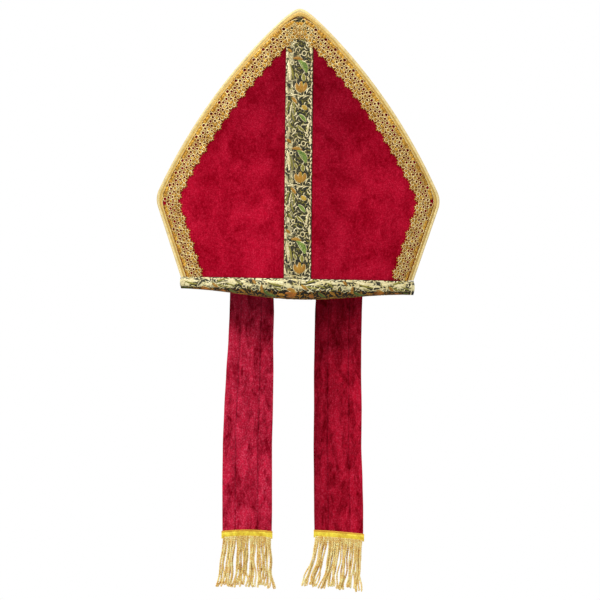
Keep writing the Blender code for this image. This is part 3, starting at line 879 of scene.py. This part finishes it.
def lace_spot(along, inward):
    """Flat place (x, z) on the right-hand lace: metres from the rim, metres in from the binding."""
    position = min(max(along / LACE_LENGTH, 0.0), 1.0) * (len(LACE_POINTS) - 1)
    i = min(int(position), len(LACE_POINTS) - 2)
    share = position - i
    point = LACE_POINTS[i].lerp(LACE_POINTS[i + 1], share)
    eased = LACE_EASED[i].lerp(LACE_EASED[i + 1], share).normalized()
    straight = LACE_STRAIGHT[i].lerp(LACE_STRAIGHT[i + 1], share).normalized()
    stretch = 1 / max(eased.dot(straight), 0.75)
    return point + eased * (inward - LACE_WIDTH / 2) * stretch


def lace_base(x):
    over = 1 - smooth_step((abs(x) - RIBBON_WIDTH / 2 - MM) / (12 * MM))
    return GAP + (RIBBON_THICKNESS + GAP) * over


def on_lace(hand, along, inward, height):
    spot = lace_spot(along, inward)
    x = max(spot.x, 0.0) * hand
    return on_horn(x, spot.y, lace_base(x) + height)


def lace_mark(hand, along):
    """Where a motif goes: its foot at the binding, its outward and run directions, and its size."""
    middle = lace_spot(along, MOTIF_MIDDLE)
    out = bow_normal(middle.x * hand, middle.y).normalized()
    before, after = [on_lace(hand, along + step, MOTIF_MIDDLE, 0.0) for step in (-MM, MM)]
    run = (after - before).normalized() * hand
    return on_lace(hand, along, MOTIF_MIDDLE, 0.0) - out.cross(run) * MOTIF_MIDDLE, out, run, (1, 1, 1)


def add_dome(edit, centre, radii, height, sides, rings):
    """A low cushion of thread: an oval dome with a flat underside, sunk a little."""
    base = -0.25 * MM
    loops = []
    for ring in range(rings):
        rise = ring / rings * pi / 2
        loops.append([edit.verts.new((centre[0] + radii[0] * cos(rise) * cos(turn),
                                      centre[1] + radii[1] * cos(rise) * sin(turn),
                                      base + (height - base) * sin(rise))) for turn in turns(sides)])
    for lower, upper in pair_up(loops):
        bridge(edit, lower, upper)
    top = edit.verts.new((*centre, height))
    for i in range(sides):
        edit.faces.new((loops[-1][i], loops[-1][(i + 1) % sides], top))
    edit.faces.new(loops[0][::-1])


def add_ring(edit, centre, radius, thickness, height):
    """A small thread ring."""
    loops = []
    for turn in turns(12):
        loop = []
        for roll in turns(5):
            reach = radius + thickness * cos(roll)
            loop.append(edit.verts.new((centre[0] + reach * cos(turn),
                                        centre[1] + reach * sin(turn),
                                        height + thickness * sin(roll))))
        loops.append(loop)
    for lower, upper in pair_up(loops + loops[:1]):
        bridge(edit, lower, upper)


def mirrored(*rows):
    """The rows, and each again on the other side of the middle."""
    return [(side * along, *rest) for along, *rest in rows for side in (-1, 1)]


# The lace's parts in one repeat, in millimetres: along from its middle, inward from the binding, then radii.
# Fills are solid cushions with radii along and inward; eyelets are rings of pale cord
LACE_FILLS = [
    (0.0, 2.2, 3.4, 2.9), (8.75, 0.0, 2.2, 0.9), (8.75, 7.0, 1.6, 1.2), (0.0, 11.6, 1.6, 1.6),
    (8.75, 11.4, 1.9, 1.9), (0.0, 15.0, 2.6, 2.0), (0.0, 19.5, 2.0, 2.0), (0.0, 22.9, 0.9, 0.9),
    *mirrored((4.4, 1.9, 2.6, 2.7), (2.9, 5.5, 1.6, 1.1), (3.0, 9.4, 1.0, 1.0), (6.0, 10.4, 1.2, 1.0),
              (4.6, 14.6, 2.0, 1.3), (4.9, 17.4, 1.9, 1.9), (2.9, 21.5, 0.8, 0.8), (6.7, 20.1, 0.9, 0.9),
              (8.1, 17.0, 0.8, 0.8)),
]
LACE_EYELETS = [
    (8.75, 3.5, 2.4), (0.0, 7.7, 2.1), (8.75, 11.4, 2.2), (0.0, 19.5, 2.4),
    *mirrored((5.6, 7.2, 1.95), (3.4, 12.0, 1.9), (4.9, 17.4, 2.3)),
]
EYELET_THICKNESS = 0.55 * MM
EYELET_HEIGHT = 0.95 * MM


def fill_motif():
    edit = bmesh.new()
    for along, inward, wide, deep in LACE_FILLS:
        sides, rings = (10, 3) if wide > 1 else (7, 2)
        add_dome(edit, (along * MM, inward * MM), (wide * MM, deep * MM), (0.7 + 0.25 * min(wide, 3)) * MM,
                 sides, rings)
    return mesh_from("fills", edit, 60)


def eyelet_motif():
    edit = bmesh.new()
    for along, inward, radius in LACE_EYELETS:
        add_ring(edit, (along * MM, inward * MM), radius * MM, EYELET_THICKNESS, EYELET_HEIGHT)
    return mesh_from("eyelets", edit, 80)


# Cords that sway along the lace: inward, swing, waves to a repeat, phase and radius, lengths in millimetres
LACE_CORDS = ((-0.1, 0.1, 2, 0, 0.5), (4.9, 0.3, 3, pi / 2, 0.45), (13.6, 0.4, 1, pi / 2, 0.5))


def lace_cord(hand, inward, swing, waves, phase, radius):
    steps = LACE_REPEATS * waves * 8
    points = []
    for step in range(steps + 1):
        along = step / steps * LACE_LENGTH
        sway = swing * sin(along / LACE_PITCH * waves * 2 * pi + phase)
        points.append(on_lace(hand, along, (inward + sway) * MM, 0.7 * MM))
    return points, radius * MM


def make_lace():
    """Gold guipure lace: scallops on the inner edge, eyelets in the middle, broad lobes along the binding."""
    hands = (-1, 1)
    spots = [lace_mark(hand, (repeat + 0.5) * LACE_PITCH) for hand in hands for repeat in range(LACE_REPEATS)]
    peak = edge_top(0, PANEL_INSET) - 8 * MM
    spots.append((on_horn(0, peak, lace_base(0) + 0.6 * MM), bow_normal(0, peak).normalized(),
                  Vector((-1, 0, 0)), (0.7, 0.7, 1)))
    strands = [lace_cord(hand, *row) for hand in hands for row in LACE_CORDS]
    parts = [
        (copies_mesh(spots, fill_motif(), LACE_GOLD), 0),
        (copies_mesh(spots, eyelet_motif(), LACE_PALE), 1),
        (cord_mesh(strands, LACE_PALE), 1),
    ]
    item = finish_piece(join_meshes("lace_trim", parts, [LACE_GOLD, LACE_PALE]), "gold_lace", "lace_trim")


# Brocade ribbon: figures in gold, orange and green on the dark ground

# On the rim, figures on the roll take paler threads, a painted highlight, and figures below its fold take
# darker ones, painted shade
ROLL_HIGHLIGHT_THREADS = {"pale": "cream"}
FOLD_SHADE_THREADS = {"pale": "tan", "olive": "tan", "orange": "rust", "ochre": "rust", "green": "moss"}
# Figures of one repeat, in millimetres and degrees. Across runs from the middle, along runs down the ribbon.
# Angle 0 lies across and 90 lies along; bend is the sag of the figure's middle as a share of its length.
FIGURE_KEYS = ("thread", "across", "along", "length", "width", "angle", "bend", "edged")
FIGURES = [(thread, *row) for thread, rows in (
    ("orange", (
        (-1.9, 4.1, 12.0, 4.2, 8, -0.12, 0), (-1.0, 38.0, 11.5, 5.4, 66, 0.08, 1),
        (6.0, 37.4, 11.5, 5.4, 108, -0.08, 1), (2.4, 37.4, 13.5, 5.4, 87, 0.0, 1),
        (-5.6, 53.0, 9.5, 4.0, 52, 0.0, 1), (-11.6, 101.6, 7.0, 3.6, 40, 0.0, 0))),
    ("green", (
        (3.6, 12.6, 18.0, 7.4, 56, -0.14, 1), (4.4, 74.4, 12.5, 4.2, 48, -0.05, 1))),
    ("olive", (
        (5.4, 13.4, 11.0, 2.0, 62, -0.1, 0), (-9.0, 20.0, 19.0, 2.6, 78, -0.05, 0),
        (-2.7, 23.2, 8.0, 2.6, 62, 0.05, 1), (5.2, 26.0, 9.0, 4.4, 85, 0.0, 1),
        (-12.2, 62.0, 16.0, 2.6, 106, 0.08, 0), (-6.2, 62.0, 16.0, 2.8, 80, -0.06, 0),
        (-6.6, 73.0, 12.0, 2.2, 72, 0.05, 0), (-8.4, 83.0, 12.0, 2.2, 54, 0.1, 0),
        (2.6, 86.6, 11.0, 3.0, 44, 0.06, 1))),
    ("pale", (
        (3.2, 11.8, 8.0, 1.3, 60, -0.06, 0), (-12.4, 17.0, 24.0, 4.2, 85, -0.05, 0),
        (10.0, 27.0, 7.0, 2.6, 70, -0.1, 0), (-6.0, 44.6, 9.5, 1.8, 12, 0.2, 0),
        (3.0, 46.0, 10.5, 1.8, 2, 0.2, 0), (11.0, 41.5, 9.0, 1.8, 118, 0.15, 0),
        (-13.4, 41.0, 8.5, 3.6, 74, 0.2, 0), (-8.8, 49.0, 11.0, 1.5, 12, -0.15, 0),
        (8.4, 49.6, 9.0, 1.5, 156, 0.15, 0), (12.6, 55.0, 9.0, 1.6, 58, 0.1, 0),
        (-9.2, 64.5, 18.0, 1.8, 98, 0.04, 0), (-2.8, 60.6, 10.0, 1.4, 58, -0.08, 0),
        (12.2, 65.0, 7.0, 2.2, 72, -0.1, 0), (-12.4, 74.0, 9.0, 2.2, 100, 0.1, 0),
        (12.2, 77.0, 8.0, 2.8, 66, 0.1, 0), (-2.6, 81.6, 7.0, 1.4, 140, 0.2, 0),
        (11.4, 86.6, 15.0, 3.2, 100, 0.06, 0), (-12.6, 88.0, 8.0, 2.6, 84, -0.15, 0),
        (-5.0, 94.8, 9.0, 1.5, 150, 0.25, 0), (1.6, 96.0, 9.0, 1.5, 30, 0.25, 0),
        (-2.2, 101.0, 8.0, 1.4, 120, 0.28, 0), (-13.0, 107.0, 7.5, 3.0, 88, 0.2, 0),
        (13.2, 101.0, 10.5, 3.2, 88, -0.06, 0))),
    ("ochre", (
        (3.2, 34.0, 7.5, 2.4, 88, 0.0, 0), (6.6, 61.8, 8.0, 5.6, 40, 0.0, 1))),
) for row in rows]
# Rings: across, along and radius
RINGS = ((-8.7, 8.4, 1.9), (5.6, 105.0, 2.5), (-5.6, 89.5, 1.8), (9.6, 94.6, 1.6))


def bent_line(figure, steps):
    """Points (across, along, share) down a figure's middle."""
    angle = radians(figure["angle"])
    ca, sa = cos(angle), sin(angle)
    points = []
    for i in range(steps + 1):
        t = i / steps - 0.5
        run = t * figure["length"]
        sag = figure["bend"] * figure["length"] * (1 - 4 * t * t)
        points.append((figure["across"] + run * ca - sag * sa, figure["along"] + run * sa + sag * ca,
                       i / steps))
    return points


def filler_figures():
    """Small commas strewn over the free ground of a repeat, denser along both edges."""
    draw = random.Random(5)
    repeat = BROCADE_REPEAT / MM
    taken = []
    for row in FIGURES:
        figure = dict(zip(FIGURE_KEYS, row))
        for across, along, share in bent_line(figure, 6):
            taken.append((across, along, figure["width"] / 2 * sin(share * pi) + 0.9))
    for across, along, radius in RINGS:
        taken.append((across, along, radius + 1.2))
    filler = []
    for edge in (-14.6, 14.6):
        along = 1.5
        while along < repeat - 1:
            filler.append(("pale", edge + draw.uniform(-0.5, 0.5), along, draw.uniform(3.0, 4.6),
                           draw.uniform(1.5, 2.2), draw.uniform(62, 118), draw.uniform(-0.2, 0.2), 0))
            along += draw.uniform(3.6, 5.0)
    for i in range(1200):
        across, along = draw.uniform(-12.4, 12.4), draw.uniform(0, repeat)
        if any(hypot(across - a, along - b) < room for a, b, room in taken):
            continue
        length = draw.uniform(3.4, 6.0)
        thread = draw.choice(("pale", "pale", "olive"))
        filler.append((thread, across, along, length, draw.uniform(0.9, 1.5), draw.uniform(0, 180),
                       draw.choice((-0.3, 0.3)), 0))
        taken.append((across, along, 3.2))
    return filler


def add_stroke(edit, place, figure, grow, height, steps, limits):
    """A raised satin-stitch stroke on the ribbon: a bent leaf shape, closed and sunk at its edges."""
    line = bent_line(figure, steps)
    rows = []
    for i, (across, along, share) in enumerate(line):
        before, after = line[max(i - 1, 0)], line[min(i + 1, steps)]
        run = Vector((after[0] - before[0], after[1] - before[1])).normalized()
        half = (figure["width"] / 2 + grow) * sin(min(max(share, 0.03), 0.97) * pi) ** 0.6
        row = []
        for side in (-1, -0.85, 0, 0.85, 1):
            a = min(max(across - side * half * run.y, limits[0]), limits[1])
            b = min(max(along + side * half * run.x, limits[2]), limits[3])
            row.append(edit.verts.new(place(a * MM, b * MM, (height * (1 - side ** 4) - 0.1) * MM)))
        rows.append(row)
    for low, high in pair_up(rows):
        for k in range(4):
            edit.faces.new((low[k], low[k + 1], high[k + 1], high[k]))
        edit.faces.new((low[4], low[0], high[0], high[4]))
    edit.faces.new(rows[0][::-1])
    edit.faces.new(rows[-1])


def figures(name, place, length, reach, phase, shown, fold=None, seams=()):
    """All figures of a ribbon: place maps across and along onto it, and phase is where its repeat starts.

    Figures above and below the fold, if there is one, take the rim's paler and darker threads, painted
    highlight and painted shade. Each seam is a line of points.
    """
    limits = (-RIBBON_WIDTH / 2 / MM + 0.3, reach / MM - 0.3, 0.3, length / MM - 0.3)

    def fits(across, along, room):
        return (limits[0] < across - room and across + room < limits[1] and limits[2] < along - room
                and along + room < limits[3] and shown(across, along))

    edits = {thread: bmesh.new() for thread in FIGURE_THREADS}
    cords = [(seam, 0.65 * MM) for seam in seams]
    for repeat in range(ceil((length + phase) / BROCADE_REPEAT)):
        shift = (repeat * BROCADE_REPEAT - phase) / MM
        for row in FIGURES + FILLER:
            figure = dict(zip(FIGURE_KEYS, row))
            figure["along"] += shift
            if not fits(figure["across"], figure["along"], 0):
                continue
            swaps = {}
            if fold is not None:
                swaps = FOLD_SHADE_THREADS if figure["across"] > fold else ROLL_HIGHLIGHT_THREADS
            thread = swaps.get(figure["thread"], figure["thread"])
            steps = 12 if figure["length"] > 6 else 7
            if figure["edged"]:
                add_stroke(edits[swaps.get("pale", "pale")], place, figure, 0.75, 0.32, steps, limits)
            add_stroke(edits[thread], place, figure, 0, 0.62 if figure["edged"] else 0.5, steps, limits)
        for across, along, radius in RINGS:
            if not fits(across, along + shift, radius) or (fold is not None and across >= fold):
                continue
            ring = []
            for i in range(17):
                turn = i / 16 * 2 * pi
                ring.append(place((across + radius * cos(turn)) * MM,
                                  (along + shift + radius * sin(turn) * 1.15) * MM, 0.15 * MM))
            cords.append((ring, 0.65 * MM))
    parts = [(cord_mesh(cords, FIGURE_THREADS["pale"]), 0)]
    for slot, thread in enumerate(FIGURE_THREADS):
        parts.append((mesh_from(thread, edits[thread], 60), slot))
    return finish_piece(join_meshes(name, parts, FIGURE_THREADS.values()), "brocade")


FILLER = filler_figures()


def make_centre_band():
    def spot(u, v):
        x = blend(-RIBBON_WIDTH / 2, RIBBON_WIDTH / 2, u)
        return x, blend(EDGE_START, edge_top(x, PANEL_INSET) - TOP_ROOM, v)

    face = GAP + RIBBON_THICKNESS
    band = make_sheet("centre_band", "brocade", BROCADE, (12, 130), spot,
                      lambda x, z: on_horn(x, z, face), lambda x, z: on_horn(x, z, GAP))
    top = BAND_PATTERN_START + BROCADE_REPEAT
    marks = figures("centre_band_figures",
                    lambda across, along, height: on_horn(across, top - along, face + height),
                    top - EDGE_START, RIBBON_WIDTH / 2, 0.0,
                    lambda across, along: top - along * MM < edge_top(across * MM, PANEL_INSET) - 4 * MM)
    edge_top(0, PANEL_INSET) - EDGE_START


def rim_run():
    """X at each millimetre along the rim's outer face, from its left end."""
    reach = RIM_HALF_WIDTH - GAP
    xs = [-reach]
    while xs[-1] < reach:
        slope = bow_normal(xs[-1], 0).x
        xs.append(xs[-1] + MM / hypot(1, slope))
    xs[-1] = reach
    return xs


def rim_place(xs, side, across, along, height):
    """A spot of the rim ribbon: across from -half at its top edge, along from its left end."""
    position = min(max(along / MM, 0.0), len(xs) - 1.001)
    i = int(position)
    x = blend(xs[i], xs[i + 1], position - i)
    share = x / RIM_HALF_WIDTH
    drop, depth, width = LIP_END_DROP, LIP_END_DEPTH, BACK_RIM_WIDTH
    if side < 0:
        drop = blend(LIP_END_DROP, LIP_DROP, 0.5 + 0.5 * cos(share * pi))
        depth = blend(LIP_END_DEPTH, LIP_DEPTH, 1 - share * share)
        width = RIBBON_WIDTH
    straight = RIM_BAND_HEIGHT - SOFT_TURN
    down = across + RIBBON_WIDTH / 2
    if down < straight:
        inward, z, lean = 0.0, RIM_BAND_HEIGHT - down, 0.0
    else:
        t = (down - straight) / (width - straight)
        inward = depth * t * t
        z = SOFT_TURN - (drop + SOFT_TURN) * (1.62 * t - 0.62 * t * t)
        lean = atan2(2 * depth * t, (drop + SOFT_TURN) * (1.62 - 1.24 * t))
    z += rim_lift(x) * blend(0.55, 1.0, min(down / width, 1.0))
    out = GAP + RIM_BAND_WALL - inward
    base = on_horn(x, 0, out + height * cos(lean), side)
    return Vector((base.x, base.y, z - height * sin(lean)))


def make_rim_band(name, side):
    xs = rim_run()
    length = (len(xs) - 1) * MM
    width = RIBBON_WIDTH if side < 0 else BACK_RIM_WIDTH

    def crown(across):
        """The ribbon's soft roll: one swell above the fold line and a flatter one below it."""
        down = across + RIBBON_WIDTH / 2
        share = down / FOLD_DOWN
        if share < 1:
            return ROLL_HEIGHT * sin(share * pi) - FOLD_SINK * smooth_step(share)
        below = (down - FOLD_DOWN) / max(width - FOLD_DOWN, MM)
        return LIP_ROLL_HEIGHT * sin(below * pi) - FOLD_SINK

    def place(across, along, height):
        return rim_place(xs, side, across, along, crown(across) + height)

    band = make_sheet(name, "brocade", RIM_BROCADE, (200, 26),
                      lambda u, v: (width * v - RIBBON_WIDTH / 2, length * u),
                      lambda across, along: place(across, along, 0),
                      lambda across, along: rim_place(xs, side, across, along, -RIM_BAND_WALL))
    shown = width - RIBBON_WIDTH / 2
    end = length - TURNED_END
    seam = [place(across * MM, end, 0.1 * MM) for across in range(-15, round(shown / MM))]
    marks = figures(name + "_figures", place, length, shown, RIM_PATTERN_PHASE,
                    lambda across, along: along * MM < end - MM, fold=-1.0, seams=[seam])


# Braid and fringe

def make_braid(side):
    """Bright yellow braid: fine ribs across, a raised orange-gold top thread and a groove under it."""
    lappet = LAPPETS[side]
    widen = 1 + 2 * MM / LAPPET_WIDTH
    columns, rows, edge_rows = 150, 16, 3

    def place(across, row, height):
        lower = BRAID_HEIGHT * (row - 0.35) - end_rise(lappet, across)
        spot = lappet_point(lappet, across, 1.0, LAPPET_WALL / 2 + GAP + height)
        return Vector((lappet["centre"] + (spot.x - lappet["centre"]) * widen, spot.y, spot.z - lower))

    def ridge(row, middle, width, height):
        return height * exp(-((row - middle) / width) ** 2)

    def relief(across, row):
        crown = BRAID_THICKNESS * (0.62 + 0.3 * sin(row * pi)) + 0.1 * MM * sin(across * 150)
        return (crown + ridge(row, 0.09, 0.06, 0.45 * MM) + ridge(row, 0.24, 0.05, -0.5 * MM)
                + ridge(row, 0.92, 0.05, 0.25 * MM))

    item = make_sheet(side + "_lappet_braid", "yellow_braid", BRAID_YELLOW, (columns, rows),
                      lambda u, v: (2 * u - 1, v),
                      lambda across, row: place(across, row, relief(across, row)),
                      lambda across, row: place(across, row, 0.0),
                      lambda across, row: (across * LAPPET_WIDTH / 2, row * BRAID_HEIGHT))
    item.data.materials.append(BRAID_EDGE)
    for face in item.data.polygons[:2 * columns * edge_rows]:
        face.material_index = 1


def make_fringe(side, seed):
    """Bullion fringe: each cord is one thread doubled back on itself and twisted, with a loop at its end."""
    lappet = LAPPETS[side]
    section = section_at(lappet["sections"], 1.0)
    draw = random.Random(seed)
    half = LAPPET_WIDTH / 2
    count = LOCK_COUNT * CORDS_PER_LOCK
    strands = []
    for cord in range(count):
        root = blend(-half + MM, half - MM, (cord + 0.5) / count)
        across = root / half
        lock = cord // CORDS_PER_LOCK
        shift = blend(*lappet["shifts"], lock / (LOCK_COUNT - 1)) + draw.uniform(-2.6, 2.6) * MM
        sway = 1.6 * MM * sin(lock * 2.4) + draw.uniform(-1.6, 1.6) * MM
        wave = draw.uniform(0.5, 1.9) * MM
        wave_start = draw.uniform(0, 2 * pi)
        deep = draw.uniform(-1.5, 1.5) * MM
        row = 1.3 * MM if cord % 2 else -1.3 * MM
        length = CORD_LENGTH * (1 - 0.035 * (1 + sin(lock * 1.7)) - draw.uniform(0, 0.03))
        spot = lappet_point(lappet, across, 1.0, 0)
        top = Vector((lappet["centre"] + LAPPET_WIDTH * section["sway"] + root * section["width"],
                      spot.y, spot.z + end_rise(lappet, across) - FRINGE_HEAD_DROP))
        phase = draw.uniform(0, 2 * pi)
        revolutions = length / PLY_TWIST
        steps = int(revolutions * 7)
        down_path, up_path = [], []
        for step in range(steps + 1):
            t = step / steps
            aside = shift * t ** 1.6 + sway * sin(t * pi * 0.9)
            aside += wave * t * sin(t * 11 + wave_start)
            back = deep * t + row * sin(t * pi) - FRINGE_STEP_OUT * (1 - t) ** 6
            middle = top + Vector((aside, back, -length * t))
            angle = phase + 2 * pi * revolutions * t
            apart = PLY_RADIUS * (1 + 0.5 * smooth_step(t * 12 - 11))
            swing = Vector((cos(angle), sin(angle), 0)) * apart
            down_path.append(middle + swing)
            up_path.append(middle - swing)
        end = (down_path[-1] + up_path[-1]) / 2
        reach = (down_path[-1] - up_path[-1]) / 2
        bend = []
        for step in range(1, 6):
            angle = step / 6 * pi
            bend.append(end + reach * cos(angle) + Vector((0, 0, -1.1 * MM)) * sin(angle))
        strands.append((down_path + bend + up_path[::-1], PLY_RADIUS))
    draw.shuffle(strands)
    parts = [(cord_mesh(strands[i::len(BULLION)], gold, sides=5), i) for i, gold in enumerate(BULLION)]
    finish_piece(join_meshes(side + "_fringe", parts, BULLION), "bullion", side + "_fringe")


# Studio

# Lamps: name, place, size and power
LAMPS = (
    ("key", (-1.2, -1.9, 1.6), 0.6, 44.0),
    ("fill", (1.6, -2.0, 0.6), 1.4, 4.0),
    ("top", (0.2, -0.9, 2.2), 1.2, 16.0),
)
PIXEL = 1.2 * MM
CAMERA_DISTANCE = 5.0
FLOOR_HEIGHT = -0.95
FLOOR_HALF_SIZE = 6.0
CAMERA_SIDE = 3.4 * MM
CAMERA_RISE = -10 * MM
CAMERA_ROLL = -0.55


def make_world(scene):
    """A white backdrop of light behind the hat, and a dimmer room in front."""
    scene.view_settings.view_transform = "Standard"
    world = bpy.data.worlds.new("studio")
    scene.world = world
    world.use_nodes = True
    tree = world.node_tree
    tree.nodes.clear()
    place = add(tree, "ShaderNodeTexCoord")
    axes = add(tree, "ShaderNodeSeparateXYZ", {"Vector": place.outputs["Generated"]})
    glow = add(tree, "ShaderNodeMapRange",
               {"Value": axes.outputs[1], "From Min": -0.9, "From Max": 0.6, "To Min": 0.42, "To Max": 1.0},
               interpolation_type="SMOOTHSTEP")
    sky = add(tree, "ShaderNodeBackground", {"Color": (1, 1, 1, 1), "Strength": glow.outputs[0]})
    add(tree, "ShaderNodeOutputWorld", {"Surface": sky.outputs[0]})


def make_studio():
    """The world, a plain pale floor well below the hat, soft lamps and the camera."""
    scene = bpy.context.scene
    make_world(scene)
    mesh = bpy.data.meshes.new("floor")
    corners = ((-1, -1), (1, -1), (1, 1), (-1, 1))
    mesh.from_pydata([(x * FLOOR_HALF_SIZE, y * FLOOR_HALF_SIZE, FLOOR_HEIGHT) for x, y in corners],
                     [], [(0, 1, 2, 3)])
    finish = Finish("studio_floor")
    grain = finish.noise(1 / 3)
    paint = finish.mix(grain, "#D6D6D6", "#DCDCDC")
    mesh.materials.append(finish.close(paint, grain, 0.0, MM, {"Roughness": 0.9}))
    link_object("floor", mesh)
    for name, spot, size, power in LAMPS:
        light = bpy.data.lights.new(name, "AREA")
        light.size = size
        light.energy = power
        lamp = link_object(name, light)
        lamp.location = spot
        lamp.rotation_euler = (-Vector(spot)).to_track_quat("-Z", "Y").to_euler()
    camera = bpy.data.cameras.new("camera")
    camera.sensor_width = 36
    camera.lens = camera.sensor_width * CAMERA_DISTANCE / (600 * PIXEL)
    camera.clip_end = 50
    view = link_object("camera", camera)
    view.location = (CAMERA_SIDE, -CAMERA_DISTANCE, CAMERA_RISE)
    view.rotation_euler = (radians(90), radians(CAMERA_ROLL), 0)
    scene.camera = view


make_studio()
make_panel("front_panel", -1, 1.0)
make_panel("back_panel", 1, 7.0)
make_gusset()
make_binding("front_binding", 0.0, -1, True)
make_binding("back_binding", BACK_BINDING_START, 1, False)
make_lace()
make_centre_band()
make_rim_band("front_rim_band", -1)
make_rim_band("back_rim_band", 1)
for side, strip_seed, cord_seed in (("left", 11.0, 41), ("right", 23.0, 67)):
    make_lappet(side, strip_seed)
    make_braid(side)
    make_fringe(side, cord_seed)
